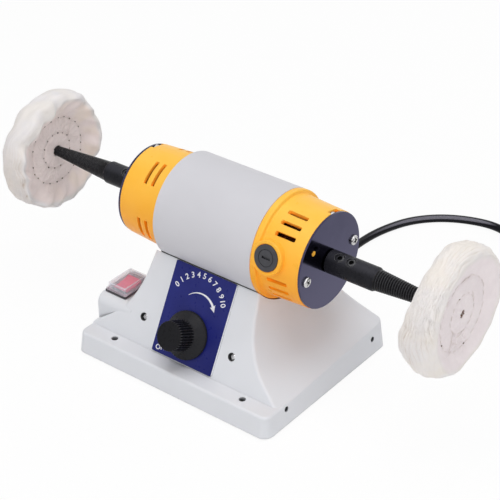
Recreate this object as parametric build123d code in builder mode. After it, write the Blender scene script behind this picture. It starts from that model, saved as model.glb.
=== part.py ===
"""Bench polishing machine: a brushed motor on a moulded base turns two tapered spindles with cloth buffs.

Millimetres. z = 0 is the surface it stands on, X runs along the motor and Y points to the back.
"""
import os
from math import acos, atan, cos, degrees, pi, radians, sin, sqrt, tan

from build123d import *

os.makedirs("parts", exist_ok=True)

# Clearances
touch_gap = 0.1
slip_gap = 0.3
run_gap = 0.06
press_gap = 0.02

# Base shell
foot_drop = 1.5
base_length = 185.2
base_depth = 154.6
flange_height = 17.3
flange_draft = 2.3
corner_radius = 8.0
wall = 3.0
edge_round = 2.4
brim_round = 1.6
front_ledge = 14.3
front_lean = 27.1
back_lean = 31.5
back_shoulder = 5.2
waist_half = 49.7
waist_shift = -1.6
waist_drop = 26.9
waist_lean = 9.0
flare_drop = 42.4
flare_radius = 55.0
flare_lean = 55.0
flare_tilt = 2.6
flare_run = 30.0
flange_top = foot_drop + flange_height
front_foot = front_ledge + flange_draft - base_depth / 2
back_edge = base_depth / 2 - flange_draft - slip_gap

# Motor
axis_y = 6.0
axis_z = foot_drop + 108.9
tube_radius = 42.0
tube_wall = 2.0
tube_left = -45.5
tube_right = 45.0
saddle_gap = 0.5
liner_lip = 1.1
motor_end = 85.4
plate_thickness = 1.6
cap_end = motor_end - plate_thickness - touch_gap
cap_wall = 4.6
cap_end_wall = 3.5
spigot_reach = 4.0
spigot_wall = 2.2
right_ring_width = 4.6
right_root_radius = tube_radius - 3.1
right_plate_radius = tube_radius - 5.2
left_root_radius = tube_radius - 3.5
left_plate_radius = tube_radius - 6.3
plate_lip = 0.4
plate_screw_circle = left_plate_radius - 6.7
plate_screw_tilt = -7.0
plate_screw_radius = 2.0
plate_head_radius = 3.9
plate_head_height = 2.4
bolt_circle = tube_radius - 9.0
bolt_angle = 78.0
bolt_radius = 2.0
bolt_head_radius = 3.4
bolt_head_height = 2.6
bolt_notch_radius = 4.4
bolt_notch_width = 13.0
bolt_notch_depth = 3.2
peg_angle = 142.0
peg_radius = 2.1
peg_rise = 0.3
vent_length = 17.0
vent_width = 3.3
vent_middle = 66.0
vent_angles = (27.0, 40.5, 54.5)
ring_vent_width = 3.0
ring_vent_places = (-64.0, -56.6)
ring_vent_starts = (40.5, 108.5, -32.0, 182.0)
ring_vent_arc = 30.0
saddle_screw_x = 33.0
saddle_screw_angle = 28.0
saddle_screw_radius = 2.0
saddle_head_radius = 4.0

# Shaft, bearings and windings
shaft_radius = 4.0
core_seat_radius = 5.0
bearing_radius = 11.0
bearing_width = 7.0
bearing_ring = 2.0
core_half = 20.0
armature_radius = 19.6
armature_slots = 12
air_gap = 0.8
stator_back = 8.4
pole_half_width = 11.0
shoe_thickness = 4.6
shoe_angle = 60.0
coil_overhang = 8.0
commutator_radius = 11.5
commutator_length = 17.5
commutator_bars = 24
fan_radius = left_root_radius - 8.5
fan_place = -53.0
fan_width = 15.0
fan_blades = 11

# Brushes
brush_x = 58.8
brush_angle = 16.5
brush_width = 6.0
brush_depth = 9.0
brush_length = tube_radius - 27.0
brush_lift = 3.0
holder_radius = 7.5
holder_inner = 15.0
holder_outer = tube_radius - 8.0
boss_radius = 13.0
cover_radius = 10.0
cover_head = 2.4
cover_plug_length = 4.5
brush_wire = 0.8
brush_spring_radius = 2.6
brush_spring_turns = 5

# Spindles and buffs
collar_radius = 9.0
collar_length = 41.2
collar_start = motor_end + 0.6
collar_chamfer = 1.0
shaft_in_collar = 34.2
nose_tip = 194.5
nose_tip_radius = 3.2
set_screw_places = (9.9, 19.8)
set_screw_angle = 68.5
set_screw_radius = 3.2
set_screw_land = 3.7
buff_place = 189.6
buff_radius = 50.0
buff_hub_half = 6.2
buff_rim_half = 11.4
buff_gap = 0.25
buff_plies = 6
stitch_radii = (13.0, 25.0)

# Control panel, knob and board
panel_width = 58.6
panel_shift = -0.9
panel_gap = 0.4
panel_thickness = 0.6
knob_x = -1.9
knob_rise = 22.6
knob_skirt_radius = 18.5
knob_grip_radius = 11.4
knob_height = 24.0
knob_flutes = 20
knob_lift = 1.4
pot_radius = 12.0
pot_depth = 10.5
pot_shaft_radius = 3.0
pot_bush_radius = 4.6
pot_nut_height = 2.2
front_screw_xs = (-44.9, 40.1)
front_screw_rise = 21.4
front_screw_radius = 1.5
front_head_radius = 2.9
front_head_height = 1.4
front_sink = 4.6
board_length = 100.0
board_height = 34.0
board_thickness = 1.6

# Switch
turret_left = -90.9
turret_right = -57.5
turret_front = -53.8
turret_skew = 1.5
turret_back = -11.5
turret_top = foot_drop + 40.0
turret_round = 8.0
turret_edge = 2.2
switch_x = -77.9
switch_y = -31.5
bezel_length = 30.0
bezel_width = 21.4
bezel_height = 2.0
bezel_lap = 1.1
switch_depth = 19.5
rocker_width = 13.4
rocker_half = 8.6
rocker_tilt = 8.0
boot_height = 5.9
boot_wall = 0.9

# Underside
plate_rise = 1.0
base_plate_thickness = 2.0
bench_x = 62.0
bench_back = 5.5
bench_hole_radius = 2.65
bench_boss_radius = 6.0
bench_relief_radius = 4.2
foot_x = 72.0
foot_y = 52.0
foot_radius = 8.0
foot_stem_radius = 2.9
side_screw_ys = (-51.4, 58.6)
side_screw_share = 0.745
side_screw_radius = 1.1
side_head_radius = 1.8
side_head_height = 1.1
side_sink = 1.9
tab_width = 14.0

# Mains cord
cord_radius = 3.5
gland_z = 11.5
gland_hole_radius = 6.0
gland_tail = 24.0
coil_middle = (134.0, 307.0)
coil_outer = 48.0
coil_turns = 2.5
coil_gap = 0.7
coil_lift = 1.6
coil_start_angle = -102.0
coil_lead = 24.0
tie_thickness = 1.0
tie_width = 8.0
plug_length = 40.0
plug_radius = 12.4


def near(shape, *place):
    """The vertex of a sketch nearest to a place."""
    return shape.vertices().sort_by_distance(Vector(*place, 0))[0]


def radial(angle):
    """Plane through the motor axis: local x runs along it and local y outward, turned up from the front."""
    a = radians(angle)
    return Plane(origin=(0, axis_y, axis_z), x_dir=(1, 0, 0), z_dir=(0, -sin(a), -cos(a)))


def facing(angle, radius):
    """Plane square to the radius at an angle turned up from the front; local x runs along the motor."""
    a = radians(angle)
    out = Vector(0, -cos(a), sin(a))
    return Plane(origin=Vector(0, axis_y, axis_z) + out * radius, x_dir=(1, 0, 0), z_dir=out)


def across(x):
    """Plane square to the motor axis: local x points to the back and local y up."""
    return Plane(origin=(x, axis_y, axis_z), x_dir=(0, 1, 0), z_dir=(1, 0, 0))


def turned(*points, rounds=()):
    """Face of a turned piece from (x, radius) points, with some of its corners rounded."""
    with BuildSketch(radial(90)) as face:
        with BuildLine():
            Polyline(*points, close=True)
        make_face()
        for place, radius in rounds:
            fillet(near(face, *place), radius)
    return face.sketch


spin = Axis((0, axis_y, axis_z), (-1, 0, 0))
panel = Plane(
    origin=(0, front_foot, flange_top),
    x_dir=(1, 0, 0),
    z_dir=(0, -cos(radians(front_lean)), sin(radians(front_lean))),
)
knob_plane = Plane(origin=panel.from_local_coords((knob_x, knob_rise, 0)), x_dir=panel.x_dir, z_dir=panel.z_dir)
knob_axis = Axis(knob_plane.origin, knob_plane.z_dir)
knob_profile = Plane(origin=knob_plane.origin, x_dir=(1, 0, 0), z_dir=-knob_plane.y_dir)


def knob_turned(*points):
    """Face of a piece turned about the knob axis from (radius, height off the panel) points."""
    with BuildSketch(knob_profile) as face:
        with BuildLine():
            Polyline(*points, close=True)
        make_face()
    return face.sketch


def side_wall(z):
    """Half length of the drafted flange at a height."""
    return base_length / 2 - flange_draft * (z - foot_drop) / flange_height


# Base shell


def shell_form(inset):
    """Flange, pedestal and turret drawn in by inset: the outside at 0, the cavity at the wall."""
    top = flange_top - inset
    low = foot_drop + flange_height / 2
    lean = radians(waist_lean)
    waist_z = axis_z - waist_drop
    flare_z = axis_z - flare_drop
    bend = (
        waist_shift + waist_half + (waist_z - flare_z) * tan(lean) - inset * cos(lean),
        flare_z - inset * sin(lean),
    )
    head = (bend[0] - (axis_z - bend[1]) * tan(lean), axis_z)
    front = tan(radians(front_lean))
    front_in = front_foot + inset / cos(radians(front_lean))
    back = tan(radians(back_lean))
    back_in = inset / cos(radians(back_lean))
    shoulder = flange_top + back_shoulder - (back_in - inset) / back

    with BuildSketch(Plane.XY.offset(foot_drop)) as foot:
        RectangleRounded(base_length - 2 * inset, base_depth - 2 * inset, corner_radius - 0.8 * inset)
    draft = degrees(atan(flange_draft / flange_height))

    with BuildPart() as flange:
        add(foot.sketch)
        extrude(amount=top - foot_drop, taper=draft)
        if inset == 0:
            fillet(flange.faces().sort_by(Axis.Z)[-1].edges(), edge_round)

    with BuildPart() as bounds:
        add(foot.sketch)
        extrude(amount=top + 2.2 * back_shoulder - foot_drop, taper=draft)
        with BuildSketch(Plane.XY.offset(top + 2 * back_shoulder)):
            Rectangle(base_length, base_depth)
        extrude(amount=axis_z)

    with BuildPart() as turret:
        with BuildSketch(Plane.XY.offset(low)):
            with BuildLine():
                Polyline(
                    (turret_left + inset, turret_front + inset),
                    (turret_right, turret_front + turret_skew + inset),
                    (turret_right, turret_back - inset),
                    (turret_left + inset, turret_back - inset),
                    close=True,
                )
            make_face()
        extrude(amount=turret_top - inset - low)
        top_face = turret.faces().sort_by(Axis.Z)[-1]
        fillet(top_face.edges().sort_by(Axis.Y)[0], turret_round - inset)
        if inset == 0:
            left_edges = turret.faces().sort_by(Axis.X)[0].edges()
            fillet(left_edges.filter_by(lambda e: e.center().Z > low + 1), turret_edge)

    with BuildPart() as form:
        with BuildSketch(Plane.XZ):
            with BuildLine():
                slope = Line(head, bend)
                flare = JernArc(
                    start=bend,
                    tangent=(sin(lean), -cos(lean)),
                    radius=flare_radius + inset,
                    arc_size=flare_lean - waist_lean,
                )
                run = Line(flare @ 1, flare @ 1 + (flare % 1) * flare_run)
                Polyline(run @ 1, ((run @ 1).X, 0), (waist_shift, 0), (waist_shift, axis_z), head)
            make_face()
        extrude(amount=base_depth / 2, dir=(0, cos(radians(flare_tilt)), sin(radians(flare_tilt))), both=True)
        mirror(about=Plane.YZ.offset(waist_shift))
        with BuildSketch(Plane.YZ):
            with BuildLine():
                Polyline(
                    (front_in + (low - flange_top) * front, low),
                    (front_in + (axis_z - flange_top) * front, axis_z),
                    (back_edge - inset - (axis_z - shoulder) * back, axis_z),
                    (back_edge - inset, shoulder),
                    (back_edge - inset, low),
                    close=True,
                )
            make_face()
        extrude(amount=base_length, both=True, mode=Mode.INTERSECT)
        if inset == 0:
            corners = form.edges().filter_by(lambda e: abs(e.center().X) > 20 and e.length > 8)
            corners = corners.filter_by(lambda e: flange_top < e.center().Z < axis_z - 1)
            fillet(corners.filter_by(lambda e: abs(e.tangent_at(0.5).X) < 0.95), edge_round)
        add(bounds.part, mode=Mode.INTERSECT)
        if inset == 0:
            brims = form.edges().filter_by(lambda e: e.length > base_depth / 3 and e.center().Z > low + 1)
            fillet(brims.filter_by(lambda e: abs(e.center().X) > 0.48 * base_length), brim_round)
        add(flange.part)
        add(turret.part)
        with Locations((0, axis_y, axis_z)):
            Cylinder(
                tube_radius + saddle_gap + inset,
                2 * base_length,
                rotation=(0, 90, 0),
                mode=Mode.SUBTRACT,
            )
    return form.part


plate_under = foot_drop + plate_rise
plate_top = plate_under + base_plate_thickness
bench_y = front_foot - bench_back
side_screw_z = foot_drop + side_screw_share * flange_height
side_screw_places = [(y, side_screw_z) for y in side_screw_ys]
front_screw_places = [(x, front_screw_rise) for x in front_screw_xs]
plate_half_x = base_length / 2 - wall - flange_draft - slip_gap
plate_half_y = base_depth / 2 - wall - flange_draft - slip_gap
switch_hole_length = bezel_length - 2 * bezel_lap
switch_hole_width = bezel_width - 2 * bezel_lap
saddle_radius = tube_radius + saddle_gap

with BuildPart() as base_shell:
    add(shell_form(0))
    add(shell_form(wall), mode=Mode.SUBTRACT)
    with BuildSketch(Plane.XY.offset(plate_top + touch_gap)):
        with Locations((-bench_x, bench_y), (bench_x, bench_y)):
            Circle(bench_boss_radius)
    extrude(amount=flange_top - wall / 2 - plate_top - touch_gap)
    for radius, height in ((bench_hole_radius, flange_height + 2), (bench_relief_radius, flange_height - wall)):
        with BuildSketch(Plane.XY.offset(foot_drop)):
            with Locations((-bench_x, bench_y), (bench_x, bench_y)):
                Circle(radius)
        extrude(amount=height, mode=Mode.SUBTRACT)
    with BuildSketch(panel.offset(-wall / 2)):
        with Locations(*front_screw_places):
            Circle(front_head_radius + wall / 2)
    extrude(amount=-(wall / 2 + pot_depth - touch_gap))
    with BuildSketch(panel.offset(1)):
        with Locations(*front_screw_places):
            Circle(front_screw_radius + slip_gap)
        with Locations((knob_x, knob_rise)):
            Circle(pot_bush_radius + slip_gap)
    extrude(amount=-(wall + pot_depth + 3), mode=Mode.SUBTRACT)
    with BuildSketch(panel.offset(1)):
        with Locations(*front_screw_places):
            Circle(front_head_radius + slip_gap)
    extrude(amount=-(1 + front_sink), mode=Mode.SUBTRACT)
    with BuildSketch(Plane.YZ):
        with Locations(*side_screw_places):
            Circle(side_screw_radius + slip_gap)
    extrude(amount=base_length, both=True, mode=Mode.SUBTRACT)
    for side in (-1, 1):
        with BuildSketch(Plane.YZ.offset(side * (side_wall(side_screw_z) - side_sink))):
            with Locations(*side_screw_places):
                Circle(side_head_radius + slip_gap)
        extrude(amount=side * base_length / 2, mode=Mode.SUBTRACT)
    with BuildSketch(Plane.XY.offset(turret_top + 1)):
        with Locations((switch_x, switch_y)):
            Rectangle(switch_hole_width, switch_hole_length)
    extrude(amount=-(wall + 2), mode=Mode.SUBTRACT)
    for tilt in (-saddle_screw_angle, saddle_screw_angle):
        with BuildSketch(facing(tilt - 90, saddle_radius - 2)):
            with Locations((-saddle_screw_x, 0), (saddle_screw_x, 0)):
                Circle(saddle_screw_radius + slip_gap)
        extrude(amount=wall + 6, mode=Mode.SUBTRACT)
    with BuildSketch(Plane.XZ.offset(-base_depth / 2 - 2)):
        with Locations((0, gland_z)):
            Circle(gland_hole_radius)
    extrude(amount=wall + flange_draft + 8, mode=Mode.SUBTRACT)
base_shell.part.label = "base_shell"
export_step(base_shell.part, "parts/base_shell.step")

# Underside

tab_top = flange_top - wall - 2 * slip_gap

with BuildPart() as base_plate:
    with BuildSketch(Plane.XY.offset(plate_under)):
        RectangleRounded(2 * plate_half_x, 2 * plate_half_y, corner_radius - wall + 1)
        with Locations((-bench_x, bench_y), (bench_x, bench_y)):
            Circle(bench_hole_radius + slip_gap, mode=Mode.SUBTRACT)
        with GridLocations(2 * foot_x, 2 * foot_y, 2, 2):
            Circle(foot_stem_radius + touch_gap, mode=Mode.SUBTRACT)
        with GridLocations(16, 18, 4, 2):
            SlotOverall(12, 3, rotation=90, mode=Mode.SUBTRACT)
    extrude(amount=base_plate_thickness)
    with BuildSketch(Plane.XY.offset(plate_under)):
        for side in (-1, 1):
            with Locations(*[(side * (plate_half_x - base_plate_thickness / 2), y) for y in side_screw_ys]):
                Rectangle(base_plate_thickness, tab_width)
    extrude(amount=tab_top - plate_under)
    with BuildSketch(Plane.YZ):
        with Locations(*side_screw_places):
            Circle(side_screw_radius + touch_gap)
    extrude(amount=base_length, both=True, mode=Mode.SUBTRACT)
base_plate.part.label = "base_plate"
export_step(base_plate.part, "parts/base_plate.step")

with BuildPart() as rubber_feet:
    with BuildSketch():
        with GridLocations(2 * foot_x, 2 * foot_y, 2, 2):
            Circle(foot_radius - 1)
    extrude(amount=plate_under, taper=-10)
    with BuildSketch(Plane.XY.offset(plate_under)):
        with GridLocations(2 * foot_x, 2 * foot_y, 2, 2):
            Circle(foot_stem_radius)
    extrude(amount=base_plate_thickness + 1)
rubber_feet.part.label = "rubber_feet"
export_step(rubber_feet.part, "parts/rubber_feet.step")

side_seat = side_wall(side_screw_z) - side_sink
with BuildPart() as side_screws:
    for side in (-1, 1):
        with BuildSketch(Plane.YZ.offset(side * side_seat)):
            with Locations(*side_screw_places):
                Circle(side_head_radius)
        extrude(amount=side * side_head_height)
        with BuildSketch(Plane.YZ.offset(side * side_seat)):
            with Locations(*side_screw_places):
                Circle(side_screw_radius)
        extrude(amount=-side * (side_seat - plate_half_x + 2 * base_plate_thickness))
side_screws.part.label = "side_screws"
export_step(side_screws.part, "parts/side_screws.step")

# Motor housing

with BuildPart() as motor_tube:
    with BuildSketch(across(tube_left)):
        Circle(tube_radius)
        Circle(tube_radius - tube_wall, mode=Mode.SUBTRACT)
    extrude(amount=tube_right - tube_left)
    for tilt in (-saddle_screw_angle, saddle_screw_angle):
        with BuildSketch(facing(tilt - 90, tube_radius - 3 * tube_wall)):
            with Locations((-saddle_screw_x, 0), (saddle_screw_x, 0)):
                Circle(saddle_screw_radius + touch_gap)
        extrude(amount=4 * tube_wall, mode=Mode.SUBTRACT)
motor_tube.part.label = "motor_tube"
export_step(motor_tube.part, "parts/motor_tube.step")

axis_in_panel = panel.to_local_coords(Vector(0, axis_y, axis_z))
back_normal = Vector(0, cos(radians(back_lean)), sin(radians(back_lean)))
axis_to_back = (Vector(0, back_edge, flange_top + back_shoulder) - Vector(0, axis_y, axis_z)).dot(back_normal)
lip_angle = degrees(liner_lip / saddle_radius)
liner_front = front_lean - degrees(acos(-axis_in_panel.Z / saddle_radius)) + lip_angle
liner_back = -180 - back_lean + degrees(acos(axis_to_back / saddle_radius)) - lip_angle

with BuildPart() as saddle_liner:
    with BuildSketch(radial(liner_back)):
        with Locations(((tube_left + tube_right) / 2, tube_radius + saddle_gap / 2)):
            Rectangle(tube_right - tube_left, saddle_gap - 2 * touch_gap)
    revolve(axis=spin, revolution_arc=liner_front - liner_back)
    for tilt in (-saddle_screw_angle, saddle_screw_angle):
        with BuildSketch(facing(tilt - 90, tube_radius - 1)):
            with Locations((-saddle_screw_x, 0), (saddle_screw_x, 0)):
                Circle(saddle_screw_radius + slip_gap)
        extrude(amount=2 + saddle_gap, mode=Mode.SUBTRACT)
saddle_liner.part.label = "saddle_liner"
export_step(saddle_liner.part, "parts/saddle_liner.step")

with BuildPart() as motor_screws:
    for tilt in (-saddle_screw_angle, saddle_screw_angle):
        with BuildSketch(facing(tilt - 90, saddle_radius + wall + touch_gap)):
            with Locations((-saddle_screw_x, 0), (saddle_screw_x, 0)):
                Circle(saddle_head_radius)
        extrude(amount=3)
        with BuildSketch(facing(tilt - 90, saddle_radius + wall + touch_gap)):
            with Locations((-saddle_screw_x, 0), (saddle_screw_x, 0)):
                Circle(saddle_screw_radius)
        extrude(amount=-(wall + saddle_gap + 2.5 * tube_wall))
motor_screws.part.label = "motor_screws"
export_step(motor_screws.part, "parts/motor_screws.step")

tube_bore = tube_radius - tube_wall
spigot_radius = tube_bore - touch_gap
bearing_seat = cap_end - bearing_width - touch_gap
hub_radius = bearing_radius + 3
wall_inside = cap_end - cap_end_wall
post_start = fan_width - fan_place + 2
notch_shift = bolt_notch_radius - bolt_head_radius - slip_gap


def cap_cavity(side, root_radius, end_radius, ring_x):
    """Space inside an end cap, with the bolt posts, the screw posts and the bearing hub left standing."""
    with BuildPart() as cavity:
        revolve(
            turned(
                (side * (ring_x - spigot_reach - 1), 0),
                (side * (ring_x - spigot_reach - 1), spigot_radius - spigot_wall),
                (side * (ring_x + 4), spigot_radius - spigot_wall),
                (side * (ring_x + 6), root_radius - cap_wall),
                (side * wall_inside, end_radius - cap_wall),
                (side * wall_inside, 0),
            ),
            axis=spin,
        )
        with BuildSketch(across(side * post_start)):
            with PolarLocations(bolt_circle, 2, start_angle=bolt_angle):
                Circle(bolt_radius + 2.4)
        extrude(amount=side * motor_end, mode=Mode.SUBTRACT)
        with BuildSketch(across(side * (wall_inside - 7))):
            with PolarLocations(plate_screw_circle, 2, start_angle=-plate_screw_tilt):
                Circle(plate_screw_radius + 2)
        extrude(amount=side * motor_end, mode=Mode.SUBTRACT)
        revolve(
            turned(
                (side * (bearing_seat - 2), shaft_radius + 3),
                (side * (bearing_seat - 2), hub_radius),
                (side * motor_end, hub_radius + 1.5),
                (side * motor_end, shaft_radius + 3),
            ),
            axis=spin,
            mode=Mode.SUBTRACT,
        )
    return cavity.part


def end_cap(side, outline, root_radius, end_radius, ring_x):
    """End cap shared by both ends: envelope, cavity, bearing seat, bolt notches and screw holes."""
    with BuildPart() as cap:
        revolve(outline, axis=spin)
        add(cap_cavity(side, root_radius, end_radius, ring_x), mode=Mode.SUBTRACT)
        revolve(
            turned(
                (side * bearing_seat, 0),
                (side * bearing_seat, bearing_radius + press_gap),
                (side * motor_end, bearing_radius + press_gap),
                (side * motor_end, 0),
            ),
            axis=spin,
            mode=Mode.SUBTRACT,
        )
        with BuildSketch(across(side * (cap_end - bolt_notch_depth))):
            with PolarLocations(bolt_circle + notch_shift, 2, start_angle=bolt_angle):
                SlotOverall(bolt_notch_width, 2 * bolt_notch_radius, rotation=90)
        extrude(amount=side * motor_end, mode=Mode.SUBTRACT)
        with BuildSketch(across(0)):
            with PolarLocations(bolt_circle, 2, start_angle=bolt_angle):
                Circle(bolt_radius + slip_gap)
        extrude(amount=side * motor_end, mode=Mode.SUBTRACT)
        with BuildSketch(across(side * (wall_inside - 5))):
            with PolarLocations(plate_screw_circle, 2, start_angle=-plate_screw_tilt):
                Circle(plate_screw_radius + touch_gap)
        extrude(amount=side * motor_end, mode=Mode.SUBTRACT)
        revolve(
            turned(
                (side * (bearing_seat - 8), 0),
                (side * (bearing_seat - 8), shaft_radius + 3),
                (side * motor_end, shaft_radius + 3),
                (side * motor_end, 0),
            ),
            axis=spin,
            mode=Mode.SUBTRACT,
        )
    return cap.part


ring_right = tube_right + touch_gap
ring_end = ring_right + right_ring_width
right_end_radius = right_plate_radius + plate_lip
right_outline = turned(
    (ring_right - spigot_reach, 0),
    (ring_right - spigot_reach, spigot_radius),
    (ring_right, spigot_radius),
    (ring_right, tube_radius),
    (ring_end, tube_radius),
    (ring_end + 0.6, right_root_radius),
    (cap_end, right_end_radius),
    (cap_end, 0),
    rounds=(
        ((ring_end, tube_radius), 1.3),
        ((ring_end + 0.6, right_root_radius), 1.0),
        ((ring_right, tube_radius), 0.6),
        ((cap_end, right_end_radius), 0.5),
    ),
)
cover_seat = tube_radius + 0.2 - cover_head + 0.4
vent_floor = right_end_radius - cap_wall - slip_gap
peg_circle = 0.9 * plate_screw_circle

with BuildPart() as right_end_cap:
    add(end_cap(1, right_outline, right_root_radius, right_end_radius, ring_right))
    for turn in (0, 180):
        with BuildSketch(facing(brush_angle + turn, tube_radius + 0.2)):
            with Locations((brush_x, 0)):
                Circle(boss_radius)
        extrude(amount=-(tube_radius - holder_outer + 8))
    for turn in (0, 180):
        out = facing(brush_angle + turn, tube_radius + 0.2)
        boss_top = right_end_cap.faces().filter_by(GeomType.PLANE).sort_by_distance(
            out.from_local_coords((brush_x, 0, 0))
        )[0]
        fillet(boss_top.outer_wire().edges(), 0.8)
        with BuildSketch(out):
            with Locations((brush_x, 0)):
                Circle(cover_radius + slip_gap)
        extrude(amount=-(tube_radius + 0.2 - cover_seat), mode=Mode.SUBTRACT)
        with BuildSketch(out):
            with Locations((brush_x, 0)):
                Circle(holder_radius + touch_gap)
        extrude(amount=-(tube_radius - holder_inner), mode=Mode.SUBTRACT)
        for angle in vent_angles:
            for way in (-1, 1):
                with BuildSketch(facing(brush_angle + turn + way * angle, vent_floor)):
                    with Locations((vent_middle, 0)):
                        RectangleRounded(vent_length, vent_width, 0.9)
                extrude(amount=tube_radius - vent_floor, mode=Mode.SUBTRACT)
    with BuildSketch(across(wall_inside + 1)):
        with PolarLocations(peg_circle, 2, start_angle=peg_angle):
            Circle(peg_radius - touch_gap)
    extrude(amount=motor_end + peg_rise - wall_inside - 1)
right_end_cap.part.label = "right_end_cap"
export_step(right_end_cap.part, "parts/right_end_cap.step")

ring_left = -tube_left + touch_gap
left_end_radius = left_plate_radius + plate_lip
left_outline = turned(
    (-(ring_left - spigot_reach), 0),
    (-(ring_left - spigot_reach), spigot_radius),
    (-ring_left, spigot_radius),
    (-ring_left, left_root_radius),
    (-cap_end, left_end_radius),
    (-cap_end, 0),
    rounds=(((-cap_end, left_end_radius), 0.8),),
)

with BuildPart() as left_end_cap:
    add(end_cap(-1, left_outline, left_root_radius, left_end_radius, ring_left))
    for start in ring_vent_starts:
        for place in ring_vent_places:
            with BuildSketch(radial(start)):
                with Locations((place, left_root_radius)):
                    Rectangle(ring_vent_width, 3 * cap_wall)
            revolve(axis=spin, revolution_arc=ring_vent_arc, mode=Mode.SUBTRACT)
left_end_cap.part.label = "left_end_cap"
export_step(left_end_cap.part, "parts/left_end_cap.step")

with BuildPart() as right_end_plate:
    with BuildSketch(across(motor_end)):
        Circle(right_plate_radius)
        Circle(shaft_radius + 3, mode=Mode.SUBTRACT)
        with PolarLocations(plate_screw_circle, 2, start_angle=-plate_screw_tilt):
            Circle(plate_screw_radius + slip_gap, mode=Mode.SUBTRACT)
        with PolarLocations(peg_circle, 2, start_angle=peg_angle):
            Circle(peg_radius, mode=Mode.SUBTRACT)
    extrude(amount=-plate_thickness)
right_end_plate.part.label = "right_end_plate"
export_step(right_end_plate.part, "parts/right_end_plate.step")

with BuildPart() as left_end_plate:
    with BuildSketch(across(-motor_end)):
        Circle(left_plate_radius)
        Circle(shaft_radius + 3, mode=Mode.SUBTRACT)
        with PolarLocations(plate_screw_circle, 2, start_angle=-plate_screw_tilt):
            Circle(plate_screw_radius + slip_gap, mode=Mode.SUBTRACT)
    extrude(amount=plate_thickness)
left_end_plate.part.label = "left_end_plate"
export_step(left_end_plate.part, "parts/left_end_plate.step")

with BuildPart() as plate_screws:
    for side in (-1, 1):
        with BuildSketch(across(side * motor_end)):
            with PolarLocations(plate_screw_circle, 2, start_angle=-plate_screw_tilt):
                Circle(plate_head_radius)
        extrude(amount=side * plate_head_height)
        fillet(
            plate_screws.faces().filter_by(Axis.X).sort_by(Axis.X)[-2:].edges()
            if side > 0
            else plate_screws.faces().filter_by(Axis.X).sort_by(Axis.X)[:2].edges(),
            0.4 * plate_head_height,
        )
        with BuildSketch(across(side * motor_end)):
            with PolarLocations(plate_screw_circle, 2, start_angle=-plate_screw_tilt):
                Circle(plate_screw_radius)
        extrude(amount=-side * (plate_thickness + cap_end_wall + 2))
plate_screws.part.label = "plate_screws"
export_step(plate_screws.part, "parts/plate_screws.step")

bolt_seat = cap_end - bolt_notch_depth
with BuildPart() as through_bolts:
    with BuildSketch(across(-bolt_seat - bolt_head_height)):
        with PolarLocations(bolt_circle, 2, start_angle=bolt_angle):
            Circle(bolt_radius)
    extrude(amount=2 * bolt_seat + bolt_head_height)
    with BuildSketch(across(bolt_seat)):
        with PolarLocations(bolt_circle, 2, start_angle=bolt_angle):
            Circle(bolt_head_radius)
    extrude(amount=bolt_head_height)
through_bolts.part.label = "through_bolts"
export_step(through_bolts.part, "parts/through_bolts.step")

with BuildPart() as bolt_nuts:
    with BuildSketch(across(-bolt_seat)):
        with PolarLocations(bolt_circle, 2, start_angle=bolt_angle):
            RegularPolygon(bolt_head_radius, 6)
            Circle(bolt_radius + press_gap, mode=Mode.SUBTRACT)
    extrude(amount=-bolt_head_height)
bolt_nuts.part.label = "bolt_nuts"
export_step(bolt_nuts.part, "parts/bolt_nuts.step")

# Stator

pole_radius = armature_radius + air_gap
back_radius = tube_bore - touch_gap - stator_back
coil_inner = pole_radius + shoe_thickness + slip_gap
coil_outer_radius = back_radius - slip_gap

with BuildPart() as stator_core:
    with BuildSketch(across(-core_half)):
        Circle(tube_bore - touch_gap)
        Circle(back_radius, mode=Mode.SUBTRACT)
        with Locations((0, 0)):
            Rectangle(2 * back_radius + stator_back, 2 * pole_half_width)
        with BuildSketch(mode=Mode.ADD):
            Circle(pole_radius + shoe_thickness)
            with Locations((0, 2 * tube_radius), (0, -2 * tube_radius)):
                Rectangle(
                    4 * tube_radius,
                    4 * tube_radius - 2 * (pole_radius + shoe_thickness) * sin(radians(shoe_angle)),
                    mode=Mode.SUBTRACT,
                )
        Circle(pole_radius, mode=Mode.SUBTRACT)
        with PolarLocations(bolt_circle, 2, start_angle=bolt_angle):
            Circle(bolt_radius + slip_gap, mode=Mode.SUBTRACT)
    extrude(amount=2 * core_half)
stator_core.part.label = "stator_core"
export_step(stator_core.part, "parts/stator_core.step")

with BuildPart() as field_coils:
    with BuildSketch(across(-core_half - coil_overhang)):
        Circle(coil_outer_radius)
        Circle(coil_inner, mode=Mode.SUBTRACT)
        with Locations((0, 2 * tube_radius), (0, -2 * tube_radius)):
            Rectangle(
                4 * tube_radius,
                4 * tube_radius - 2 * coil_inner * sin(radians(shoe_angle - 4)),
                mode=Mode.SUBTRACT,
            )
    extrude(amount=2 * (core_half + coil_overhang))
    with Locations((0, axis_y, axis_z)):
        Box(
            2 * (core_half + slip_gap),
            4 * tube_radius,
            2 * (pole_half_width + slip_gap),
            mode=Mode.SUBTRACT,
        )
field_coils.part.label = "field_coils"
export_step(field_coils.part, "parts/field_coils.step")

# Rotor

with BuildPart() as rotor_shaft:
    revolve(
        turned(
            (-collar_start - shaft_in_collar, 0),
            (-collar_start - shaft_in_collar, shaft_radius),
            (-bearing_seat, shaft_radius),
            (-bearing_seat, core_seat_radius),
            (bearing_seat, core_seat_radius),
            (bearing_seat, shaft_radius),
            (collar_start + shaft_in_collar, shaft_radius),
            (collar_start + shaft_in_collar, 0),
        ),
        axis=spin,
    )
rotor_shaft.part.label = "rotor_shaft"
export_step(rotor_shaft.part, "parts/rotor_shaft.step")

slot_root = core_seat_radius + 3.6
slot_mouth = armature_radius - 1.6
slot_width = 4.2

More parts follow.
